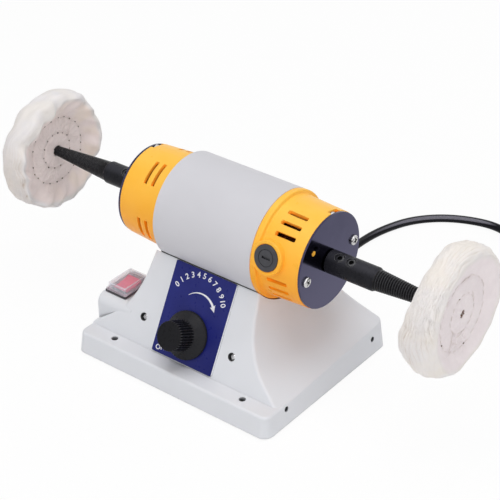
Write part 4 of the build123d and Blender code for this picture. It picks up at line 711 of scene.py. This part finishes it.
def buff_points(side, look):
    """Places of the cloth, in rows along its profile, and its marks."""
    w, r, s, rim = buff_profile(look)
    a = buff_angles[None, :] + 0 * w
    points = np.stack([side * (buff_place + w), axis_y + r * np.cos(a), axis_z + r * np.sin(a)], axis=-1)
    along = np.gradient(points, axis=0)
    around = np.roll(points, -1, axis=1) - np.roll(points, 1, axis=1)
    normal = np.cross(around, along) * side
    normal /= np.linalg.norm(normal, axis=-1, keepdims=True) + 1e-12
    relief, marks = buff_relief(look, r, s)
    points += normal * relief[..., None]
    return points, {"rim": rim, **marks}


def sewn(side, look, face, radius, count):
    """Stitches of one sewn ring: short threads, with small dark strands between some of them that paint the
    shade of needle holes.
    """
    first = look["seed"] * 0.37 + radius / mm
    step = 2 * pi / count
    dice = np.random.default_rng(look["seed"] + int(radius / mm))
    threads, holes = [], []

    def at(angle, raised, off):
        x = side * (buff_place + face * (buff_hub_half - stitch_sink + raised))
        return off_axis(x, angle, radius + off)

    for k in range(count):
        here = first + step * (k + dice.uniform(-0.2, 0.2))
        start, sway = dice.uniform(-0.6, 0.6) * mm, dice.uniform(-0.9, 0.9) * mm
        steps = (0.08, 0.25, 0.42, 0.6)
        path = [at(here + step * t, stitch_arch * sin(pi * t), start + sway * t) for t in steps]
        threads.append(strand(path, thread_radius))
        # Dark strands that paint the shade of needle holes.
        if dice.uniform() < look["holes"]:
            ahead, wide = here - step * 0.04, dice.uniform(0.36, 0.6) * mm
            path = [at(ahead + step * t, -0.04 * mm, start) for t in (-0.07, 0, 0.07)]
            holes.append(strand(path, wide, sides=7))
    return threads, holes


def jump_thread(side, start, end):
    """Loose thread on the face that looks right, between two ends."""
    path = []
    for t in np.linspace(0, 1, 9):
        angle = radians(start[0] + (end[0] - start[0]) * t + jump_bow * sin(pi * t))
        radius = (start[1] + (end[1] - start[1]) * t) * mm
        x = side * buff_place + buff_hub_half + jump_lift + jump_arch * sin(pi * t)
        path.append(off_axis(x, angle, radius))
    return strand(path, thread_radius)


# Looks of the two wheels: lengths in millimetres, angles in degrees, and bumps as lobes takes them.
# A jump goes from one (angle, radius) to another, and a split is (angle, place across, width, length).

left_look = {
    "seed": 11,
    "jumps": (((35, 15.5), (48, 28.5)), ((58, 27.5), (76, 28.5)), ((205, 15), (212, 20))),
    "holes": 0.95,
    "flare": (5, ((118, 34, 7.5), (66, 14, 4), (182, 26, 3), (150, 9, -2.2), (92, 9, -2.6),
                  (300, 22, 2), (322, 8, -2.5), (20, 18, 0.4), (48, 12, -1))),
    "back": (4, ((200, 40, 2), (80, 30, -0.5))),
    "near_edge": (45, ((112, 12, -3), (140, 9, -1.5), (323, 6, -4), (67, 10, 1.2), (18, 16, -1.2),
                       (165, 8, 1.2), (188, 8, -1.6), (208, 10, 1.2), (270, 16, -1.5))),
    "far_edge": (43, ((230, 40, 1.5),)),
    "top": (0, ((323, 6, -3), (30, 16, -2.6), (275, 20, 0.1), (150, 30, 0.3), (116, 16, 2.6), (236, 16, -2))),
    "near_round": (4.6, ((120, 50, 2.6),)),
    "far_round": (2.4, ()),
    "near_crease": 1.5,
    "far_crease": 0.8,
    "worn": ((190, 40, 0.5), (110, 40, -1.2)),
    "tan": ((5, 75, 1), (300, 35, 0.4)),
    "splits": ((192, -0.9, 0.06, 3), (207, -0.86, 0.05, 2.5), (240, -0.8, 0.05, 5)),
    "crumple": ((0, all_round, 0.15), (195, 40, 0.6)),
    "rim_darkening": ((198, 40, 0.28),),
    "pucker": ((0, all_round, 0.35), (58, 30, 0.8), (240, 28, 0.6)),
}
right_look = {
    "seed": 29,
    "jumps": (((20, 14.5), (52, 17)), ((214, 14), (236, 27)), ((250, 17), (272, 14.5)),
              ((226, 20), (258, 23)), ((70, 29), (100, 28))),
    "holes": 0.10,
    "flare": (6.5, ((190, 26, 3.4), (245, 26, 2.4), (60, 30, 2), (128, 24, -1.8))),
    "back": (4.6, ((200, 40, 1.2), (330, 40, -1), (286, 20, -1))),
    "near_edge": (44, ((190, 24, 1.5), (145, 16, -0.5), (310, 30, -1))),
    "far_edge": (44, ((205, 50, -3.5), (20, 40, 0.6), (284, 20, -2.6))),
    "top": (0, ((195, 18, 0.4), (240, 16, -1.2), (284, 20, -2.8), (66, 20, -0.9), (0, 30, -1.5))),
    "near_round": (2.6, ()),
    "far_round": (2.3, ((105, 62, 4),)),
    "near_crease": 0.5,
    "far_crease": 0.3,
    "worn": ((165, 45, 0.7), (250, 40, -0.6)),
    "tan": ((190, 40, 0.6),),
    "splits": ((178, -0.55, 0.05, 4), (190, -0.4, 0.04, 3), (200, -0.2, 0.03, 5), (170, -0.7, 0.05, 3)),
    "slit": (2.7, 2.1, 60),
    "crumple": ((0, all_round, 0.2), (146, 40, 0.9)),
    "rim_darkening": (),
    "pucker": ((0, all_round, 0.2), (262, 32, 0.9)),
}


def sewn_buff(name, side, look, cloth, replaced):
    """One wheel of cloth with its stitches on both faces."""
    points, marks = buff_points(side, look)
    faces = lattice(*points.shape[:2], wrap_rows=True, wrap_columns=True)
    buff = piece(name, (points.reshape(-1, 3), faces), cloth, "rotor", (replaced,))
    for key, shares in marks.items():
        marked(buff, key, shares)
    threads, holes = [], []
    for face in (-1, 1):
        for radius, count in zip(stitch_radii, stitch_counts):
            more_threads, more_holes = sewn(side, look, face, radius, count)
            threads += more_threads
            holes += more_holes
    threads += [jump_thread(side, *ends) for ends in look["jumps"]]
    piece(name + "_thread", joined(threads), stitch_cotton, "rotor")
    piece(name + "_needle_hole_shades", joined(holes), needle_hole_shade, "rotor")


sewn_buff("left_cloth_buff", -1, left_look, left_cotton, "left_buff")
sewn_buff("right_cloth_buff", 1, right_look, right_cotton, "right_buff")

# Threaded noses of the spindles, on collars copied from the model

nose_sides = 56
nose_steps = 12  # rows of points on a turn of thread
nose_overlap = 0.4 * mm
tip_fade = 2 * mm
nose_slope = (nose_root_radius - nose_tip_radius) / (nose_tip - nose_start)


def threaded_nose(side, pitch, depth, lead):
    """Tapered nose with a thread that runs out at both ends, and the painted highlight, partly rubbed, on its
    crests.
    """
    count = int((nose_tip - nose_start) / pitch * nose_steps)
    start = nose_start - nose_overlap
    points, wear_and_highlight = [], []
    for i in range(count + 1):
        x = start + (nose_tip - start) * i / count
        crest = nose_root_radius - nose_slope * (x - nose_start)
        fade = clamped((x - nose_start) / lead) * clamped((nose_tip - x) / tip_fade)
        for k in range(nose_sides):
            phase = (x / pitch - k / nose_sides) % 1
            low = abs(2 * phase - 1)
            # Painted highlight, partly rubbing, on each crest, fading where the thread runs out.
            wear_and_highlight.append(fade * max(1 - 1.6 * low, 0) ** 1.5)
            points.append(off_axis(side * x, 2 * pi * k / nose_sides, crest - depth * fade * low**2.2))
    return (points, closed_rings(count + 1, nose_sides)), wear_and_highlight


def collar_of(node, side):
    """The collar of a spindle: its node's mesh, cut off where the nose starts."""
    work = bmesh.new()
    work.from_mesh(nodes[node].data)
    everything = work.verts[:] + work.edges[:] + work.faces[:]
    cut = Vector((side * nose_start, axis_y, axis_z))
    bmesh.ops.bisect_plane(work, geom=everything, plane_co=cut, plane_no=(side, 0, 0), clear_outer=True)
    points = [v.co.copy() for v in work.verts]
    work.verts.index_update()
    faces = [tuple(v.index for v in f.verts) for f in work.faces]
    work.free()
    return points, faces


def spindle(name, node, side, pitch, depth, lead):
    """Collar and threaded nose as one piece, with crisp edges."""
    collar = collar_of(node, side)
    nose, wear_and_highlight = threaded_nose(side, pitch, depth, lead)
    made = piece(name, joined([collar, nose]), black_steel, "rotor", (node,), crisp=38)
    marked(made, "wear_and_highlight", [0.0] * len(collar[0]) + wear_and_highlight)
    made.data.materials.append(thread_steel)
    for face in made.data.polygons[len(collar[1]):]:
        face.material_index = 1


spindle("right_threaded_spindle", "right_spindle", 1, 1.9 * mm, 0.62 * mm, 1.5 * mm)
spindle("left_threaded_spindle", "left_spindle", -1, 1.5 * mm, 0.32 * mm, 9.0 * mm)

# Cross-head screws of the end plates

cross_half = 2.6 * mm
cross_width = 0.62 * mm
cross_depth = 1.5 * mm
cross_wall = 0.16 * mm
cross_run_out = 0.7 * mm


def cross_recess(u, v):
    """Depth of a cross recess at a place on a screw head."""

    def arm(along, over):
        width = cross_width * (1.25 - 0.5 * abs(along) / cross_half)
        inside = clamped((width - abs(over)) / cross_wall)
        return inside * clamped((cross_half - abs(along)) / cross_run_out)

    return cross_depth * max(arm(u, v), arm(v, u))


def pan_head(place, out, one, size, turn):
    """Pan head with a cross recess: out is its axis, one a way across, size 1 a plate screw's."""
    sides, rings = 72, 30
    other = out.cross(one)
    rows = [(1 - (1 - i / rings) ** 1.6, None) for i in range(1, rings + 1)]
    rows += [(1, 0.3 * plate_head_height), (1, 0), (0.4, 0)]
    points = []
    for share, height in rows:
        radius = plate_head_radius * share
        top = plate_head_height * (0.5 + 0.5 * (1 - share**5) ** 0.5 - 0.1 * share**2)
        for k in range(sides):
            a = 2 * pi * k / sides
            recess = cross_recess(radius * cos(a - turn), radius * sin(a - turn))
            rise = top - recess if height is None else height
            points.append(place + size * (out * rise + one * radius * cos(a) + other * radius * sin(a)))
    return points, closed_rings(len(rows), sides)


plate_heads = []
for side in (-1, 1):
    for half_turn in (0, pi):
        a = plate_screw_tilt + half_turn
        spot = off_axis(side * motor_end, a, plate_screw_circle)
        plate_heads.append(pan_head(spot, along_x * side, along_y, 1, radians(25) + 2.2 * a + side))
piece("plate_screw_heads", joined(plate_heads), screw_steel, "frame", ("plate_screws",), crisp=35)

# Dial marks and switch word printed on the control panel

ink_depth = 0.03 * mm
capital_share = 0.72  # height of a capital as a share of the font's size
ink_spread = 0.022  # how much bolder than the font, as a share of the height
panel_up = Vector((0, sin(front_lean), cos(front_lean)))
panel_out = Vector((0, -cos(front_lean), sin(front_lean)))
dial_middle = Vector((-1.5, 45.0)) * mm
dial_radius = 24.0 * mm
dial_reach = radians(64)
digit_height = 4.4 * mm
off_place = (-21.8 * mm, 5.4 * mm)
off_height = 4.0 * mm
off_turn = radians(14)
arrow_middle = Vector((0.5, 40.0)) * mm
arrow_radius = 16.0 * mm
arrow_barb = 2.6 * mm
film_round = 2.4 * mm
film_hole = 5.2 * mm


def on_panel(x, y, lift=0.0):
    """Place on the printed face, x across and y up its slope."""
    return panel_origin + Vector((x, 0, 0)) + panel_up * y + panel_out * (panel_thickness + lift)


def printed(outline):
    """Thin closed slab of ink with a given outline on the panel."""
    points = [on_panel(x, y, lift) for lift in (0, ink_depth) for x, y in outline]
    return points, closed_rings(2, len(outline))


def printed_text(word, x, y, height, turn):
    """Letters or digits of ink, centred at a place and turned on the panel."""
    curve = bpy.data.curves.new(word, "FONT")
    curve.body = word
    curve.size = height / capital_share
    curve.align_x = "CENTER"
    curve.align_y = "CENTER"
    curve.extrude = ink_depth / 2
    curve.resolution_u = 6
    curve.offset = ink_spread * height
    text = bpy.data.objects.new(word, curve)
    mesh = bpy.data.meshes.new_from_object(text)
    points = []
    for vertex in mesh.vertices:
        u, v, lift = vertex.co
        across, up = u * cos(turn) - v * sin(turn), u * sin(turn) + v * cos(turn)
        points.append(on_panel(x + across, y + up, lift + ink_depth / 2))
    faces = [tuple(face.vertices) for face in mesh.polygons]
    bpy.data.objects.remove(text)
    bpy.data.curves.remove(curve)
    bpy.data.meshes.remove(mesh)
    return points, faces


def arc_place(middle, radius, angle):
    """Place on an arc, its angle turned from straight up to the right."""
    return middle.x + radius * sin(angle), middle.y + radius * cos(angle)


def dial_arrow():
    """Curved arrow that swells towards its head, from slow to fast."""
    steps = 40
    start, neck, tip = radians(-45), radians(50), radians(66)
    outer, inner = [], []
    for k in range(steps + 1):
        angle = start + (neck - start) * k / steps
        half = (0.15 + 0.85 * k / steps) * mm
        outer.append(arc_place(arrow_middle, arrow_radius + half, angle))
        inner.append(arc_place(arrow_middle, arrow_radius - half, angle))
    barbs = [arc_place(arrow_middle, arrow_radius + way * arrow_barb, neck - radians(2)) for way in (1, -1)]
    return printed(outer + [barbs[0], arc_place(arrow_middle, arrow_radius, tip), barbs[1]] + inner[::-1])


def dial_marks():
    """Numbers nought to ten on an arc above the arrow, and the word at the slow end."""
    shapes = [dial_arrow(), printed_text("OFF", *off_place, off_height, off_turn)]
    for k in range(11):
        angle = dial_reach * (k / 5 - 1)
        x, y = arc_place(dial_middle, dial_radius, angle)
        shapes.append(printed_text(str(k), x, y, digit_height, -angle))
    return joined(shapes)


def panel_film():
    """The printed film, with rounded corners and a hole round the knob's shaft."""
    mesh = nodes["control_panel"].data
    spots = np.array([(v.co.x, (v.co - panel_origin).dot(panel_up)) for v in mesh.vertices])
    (left, low), (right, high) = spots.min(axis=0) + film_round, spots.max(axis=0) - film_round
    turns = np.radians(np.linspace(0, 90, 9))
    corners = ((right, high), (left, high), (left, low), (right, low))
    arcs = [[(x + film_round * cos(t + k * pi / 2), y + film_round * sin(t + k * pi / 2)) for t in turns]
            for k, (x, y) in enumerate(corners)]
    outer = []
    for k, arc in enumerate(arcs):
        end, onward = np.array(arc[-1]), np.array(arcs[(k + 1) % 4][0])
        outer += arc + [tuple(end * (1 - t) + onward * t) for t in np.arange(1, 12) / 12]
    inner = []
    for x, y in outer:
        away = Vector((x - knob_x, y - knob_rise)).normalized() * film_hole
        inner.append((knob_x + away.x, knob_rise + away.y))
    rings = ((outer, -panel_thickness), (inner, -panel_thickness), (inner, 0), (outer, 0))
    points = [on_panel(x, y, lift) for edge, lift in rings for x, y in edge]
    return points, lattice(4, len(outer), wrap_rows=True, wrap_columns=True)


piece("panel_film", panel_film(), label_blue, "frame", ("control_panel",), smooth=False)
piece("panel_marks", dial_marks(), white_ink, "frame", smooth=False)

# Heads of the two screws sunk in the front

front_head_size = 0.62
front_head_seat = 1.3 * mm
front_head_turn = radians(20)

front_heads = []
for x in front_screw_xs:
    spot = on_panel(x, front_screw_rise, -panel_thickness - front_sink + front_head_seat)
    front_heads.append(pan_head(spot, panel_out, along_x, front_head_size, front_head_turn))
piece("front_screw_heads", joined(front_heads), bright_steel, "frame", crisp=35)

# Set screws in the collars, with a rounded rim and a hexagon socket

set_screw_radius = 3.4 * mm
set_screw_top = 8.45 * mm
set_screw_round = 0.5 * mm
set_screw_wall = 1.6 * mm
socket_radius = 1.95 * mm
socket_depth = 2.2 * mm
socket_lip = 0.12 * mm / socket_depth  # as a share of that depth
rim_radius = 3.9 * mm
rim_half = 0.4 * mm
rim_sink = 0.12 * mm
screw_out = Vector((0, -cos(set_screw_lean), sin(set_screw_lean)))
screw_over = screw_out.cross(along_x)


def hexagon(radius):
    """Distance to the edge of a hexagon as a function of the angle, radius at its corners."""
    return lambda angle: radius * cos(pi / 6) / cos(angle % (pi / 3) - pi / 6)


def set_screw(foot):
    """One set screw square to its collar, over a foot on the motor axis."""
    sides = 72
    socket = ((0.05, 1), (0.96, 1), (1, 0.9), (1, socket_lip), (1.06, 0))
    rows = [(hexagon(wide * socket_radius), deep * socket_depth) for wide, deep in socket]
    for t in np.linspace(0, pi / 2, 7):
        rows.append((set_screw_radius - set_screw_round * (1 - sin(t)), set_screw_round * (1 - cos(t))))
    rows += [(set_screw_radius, set_screw_wall), (0.3 * set_screw_radius, set_screw_wall + socket_depth)]
    points = []
    for radius, drop in rows:
        points += ring(foot + screw_out * (set_screw_top - drop), along_x, screw_over, radius, sides)
    return points, closed_rings(len(rows), sides)


def countersink_rim(foot):
    """Rounded rim of a set screw's hole, lying on the round of the collar."""
    sides, steps = 8, 60
    points = []
    for i in range(steps):
        t = 2 * pi * i / steps
        reach = along_x * cos(t) + screw_over * sin(t)
        height = sqrt(collar_radius**2 - (rim_radius * sin(t)) ** 2)
        middle = foot + reach * rim_radius + screw_out * (height - rim_sink)
        points += ring(middle, reach, screw_out, rim_half, sides)
    return points, lattice(steps, sides, wrap_rows=True, wrap_columns=True)


screw_feet = [off_axis(side * (collar_start + x), 0, 0) for side in (-1, 1) for x in set_screw_places]
set_screws = joined(map(set_screw, screw_feet))
piece("set_screw_heads", set_screws, socket_steel, "rotor", ("set_screws",), crisp=40)
piece("set_screw_rims", joined(map(countersink_rim, screw_feet)), rim_steel, "rotor")

# Speed knob: finely fluted grip on a smooth skirt

knob_flutes = 34
flute_depth = 0.75 * mm
knob_sides = 12 * knob_flutes
knob_dish = 0.5 * mm
knob_round = 0.9 * mm
knob_draft = 0.5 * mm
knob_hollow = 8.3 * mm
knob_hollow_top = 5.4 * mm
knob_bore = 3.1 * mm
knob_bore_top = 19.4 * mm


def knob_rows():
    """Rings of the knob from its end round to its bore: radius, height and share of flute."""
    grip, skirt, high = knob_grip_radius, knob_skirt_radius, knob_height
    rows = [(0.02 * grip, high - knob_dish, 0)]
    rows += [(share * grip, high - knob_dish * (1 - share**2), 0) for share in np.linspace(0.1, 0.86, 9)]
    for t in np.linspace(0.1, pi / 2, 7):
        rows.append((grip - knob_round * (1 - sin(t)), high - knob_round * (1 - cos(t)), sin(t)))
    for t in np.linspace(0.06, 0.97, 14):
        rows.append((grip + knob_draft * t, high - knob_round - t * (0.62 * high - knob_round), 1))
    rows += [(grip + 0.55 * mm, 0.365 * high, 0.4), (grip + 0.7 * mm, 0.345 * high, 0)]
    rows += [(0.74 * skirt, 0.28 * high, 0), (0.86 * skirt, 0.22 * high, 0)]
    rows += [(skirt - 0.9 * mm, 0.17 * high, 0), (skirt - 0.3 * mm, 0.148 * high, 0)]
    rows += [(skirt, 0.125 * high, 0), (skirt, knob_lift, 0), (knob_hollow, knob_lift, 0)]
    rows += [(knob_hollow, knob_hollow_top, 0), (knob_bore, knob_hollow_top, 0)]
    return rows + [(knob_bore, knob_bore_top, 0)]


def fluted_knob():
    """The knob, hollow underneath, and the painted highlights on its flutes and end, with a lighter skirt."""
    middle = panel_origin + Vector((knob_x, 0, 0)) + panel_up * knob_rise
    rows = knob_rows()
    points, wear_and_highlight = [], []
    for radius, height, cut in rows:
        share = height / knob_height
        # Painted highlights: lines on the flute crests, brighter near both ends of the grip, a soft one on
        # the end face, and a lighter skirt.
        ends = max(eased(1 - (share - 0.36) / 0.14), eased((share - 0.9) / 0.08))
        plain = 0.3 if radius > knob_grip_radius + 0.6 * mm else 0.13
        for k in range(knob_sides):
            a = 2 * pi * k / knob_sides
            crest = abs(cos(knob_flutes * a / 2))
            r = radius - cut * flute_depth * (1 - crest)
            wear_and_highlight.append(cut * (0.28 + 0.6 * ends) * max(2 * crest - 1, 0) ** 2 + (1 - cut) * plain)
            points.append(middle + along_x * r * cos(a) + panel_up * r * sin(a) + panel_out * height)
    return (points, closed_rings(len(rows), knob_sides)), wear_and_highlight


knob_shape, knob_wear_and_highlight = fluted_knob()
knob = piece("fluted_knob", knob_shape, knob_plastic, "knob", ("speed_knob",), crisp=32)
marked(knob, "wear_and_highlight", knob_wear_and_highlight)

# Brush springs, copied as pieces with meshes of their own


def live_spring(name, node):
    """Copy of a brush spring on the frame, with a mesh of its own."""
    mesh = nodes[node].data
    shape = ([v.co.copy() for v in mesh.vertices], [tuple(face.vertices) for face in mesh.polygons])
    made = piece(name, shape, bright_steel, "frame", replaced=(node,))
    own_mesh(made)


live_spring("front_live_spring", "brush_spring_front")
live_spring("rear_live_spring", "brush_spring_rear")

# Mains cord: along the floor, then a two-layer coil held by a tie, with the plug on its end

coil_middle = (134.0 * mm, 307.0 * mm)
coil_outer = 48.0 * mm
coil_pitch = 7.7 * mm
coil_low = 5.1 * mm
coil_turns = 2.5
coil_climb = 0.5
coil_start = radians(-102)
coil_points_per_turn = 16
straight_before = 21 * mm
straight_after = 14 * mm


def coil_place(turns):
    """Place on the coil after some turns: inwards on the floor, then outwards on top."""
    middle = coil_turns + coil_climb / 2
    climbed = clamped((turns - coil_turns) / coil_climb)
    past = turns - middle
    inward = middle - abs(past)
    if abs(past) < coil_climb / 2:
        inward = middle - coil_climb / 4 - past**2 / coil_climb
    radius = (coil_outer - coil_pitch * inward) / cos(pi / coil_points_per_turn)
    a = coil_start + 2 * pi * turns
    height = coil_low + coil_pitch * (1 - cos(pi * climbed)) / 2
    return Vector((coil_middle[0] + radius * cos(a), coil_middle[1] + radius * sin(a), height))


coil_end = 2 * coil_turns + coil_climb
coil_count = round(coil_end * coil_points_per_turn)
coil_points = [coil_place(coil_end * k / coil_count) for k in range(coil_count + 1)]
lead_in = (coil_place(0.02) - coil_place(0)).normalized()
lead_out = (coil_place(coil_end) - coil_place(coil_end - 0.02)).normalized()
cord_points = [
    gland_end - Vector((0, 6, 0)) * mm,
    gland_end,
    gland_end + Vector((0, 20, 0)) * mm,
    Vector((-4.5, 150, 3.9)) * mm,
    Vector((-7.0, 182, 3.5)) * mm,
    Vector((-3.5, 212.5, 3.5)) * mm,
    Vector((9.0, 245, 3.5)) * mm,
    Vector((36.0, 269.5, 3.5)) * mm,
    Vector((75.0, 281, 3.5)) * mm,
    coil_points[0] - lead_in * straight_before,
    *coil_points,
    coil_points[-1] + lead_out * straight_after,
]
cord_curve = bpy.data.curves.new("mains_cord", "CURVE")
cord_curve.dimensions = "3D"
cord_line = cord_curve.splines.new("NURBS")
cord_line.points.add(len(cord_points) - 1)
for point, place in zip(cord_line.points, cord_points):
    point.co = (*place, 1)
cord_line.order_u = 3
cord_line.use_endpoint_u = True
cord_line.resolution_u = 8
cord_curve.bevel_depth = cord_radius
cord_curve.bevel_resolution = 5
cord_curve.use_fill_caps = True
cord_curve.materials.append(cord_rubber)
mains_cord = placed("mains_cord", cord_curve)
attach(mains_cord, "frame")
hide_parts("power_cord", "cord_coil")

# Floor and light

floor_half = 4.0
floor_shade = 0.93
world_strength = 0.33
lamp_target = Vector((0, 0, 0.08))


def seen_share(tree):
    """1 for rays from the camera, from mirrors and through clear pieces, 0 for the rest."""
    ray = add(tree, "ShaderNodeLightPath").outputs
    some = summed("MAXIMUM", ray["Is Camera Ray"], ray["Is Glossy Ray"])
    return summed("MAXIMUM", some, ray["Is Transmission Ray"])


def floor_paper():
    """White paper that looks evenly bright wherever it is seen."""
    material, tree, principled, place = bare("floor_paper", roughness=0.9)
    speck = mixed(noise(place, 3 * mm), (0.88, 0.88, 0.88), (0.90, 0.90, 0.90))
    feed(principled, "Base Color", speck)
    glow = add(tree, "ShaderNodeEmission", {"Strength": 1.0}).outputs[0]
    share = summed("MULTIPLY", seen_share(tree), floor_shade)
    blend = add(tree, "ShaderNodeMixShader", {0: share, 1: principled.outputs[0], 2: glow})
    tree.links.new(blend.outputs[0], tree.nodes["Material Output"].inputs["Surface"])
    return material


floor_mesh = bpy.data.meshes.new("floor")
corners = [(x * floor_half, y * floor_half, 0) for x, y in ((-1, -1), (1, -1), (1, 1), (-1, 1))]
floor_mesh.from_pydata(corners, [], [(0, 1, 2, 3)])
floor_mesh.materials.append(floor_paper())
floor = placed("floor", floor_mesh)

world = bpy.data.worlds.new("studio")
world.use_nodes = True
bpy.context.scene.world = world
world_tree = world.node_tree
world_light = ranged(seen_share(world_tree), 0, 1, world_strength, 1.0)
world_tree.links.new(world_light, world_tree.nodes["Background"].inputs["Strength"])
world_tree.nodes["Background"].inputs["Color"].default_value = (1, 1, 1, 1)


def softbox(name, place, size, power):
    """Large square lamp aimed at the middle of the machine."""
    data = bpy.data.lights.new(name, "AREA")
    data.size = size
    data.energy = power
    aimed(name, data, Vector(place), lamp_target)


softbox("top_lamp", (0.0, -0.15, 1.8), 1.4, 14.8)
softbox("front_lamp", (0.1, -1.45, 1.0), 1.2, 8.1)
softbox("right_lamp", (1.6, -0.2, 0.8), 1.2, 6.0)
softbox("back_lamp", (0.0, 1.4, 1.2), 1.2, 4.3)

bpy.context.scene.view_settings.view_transform = "Standard"
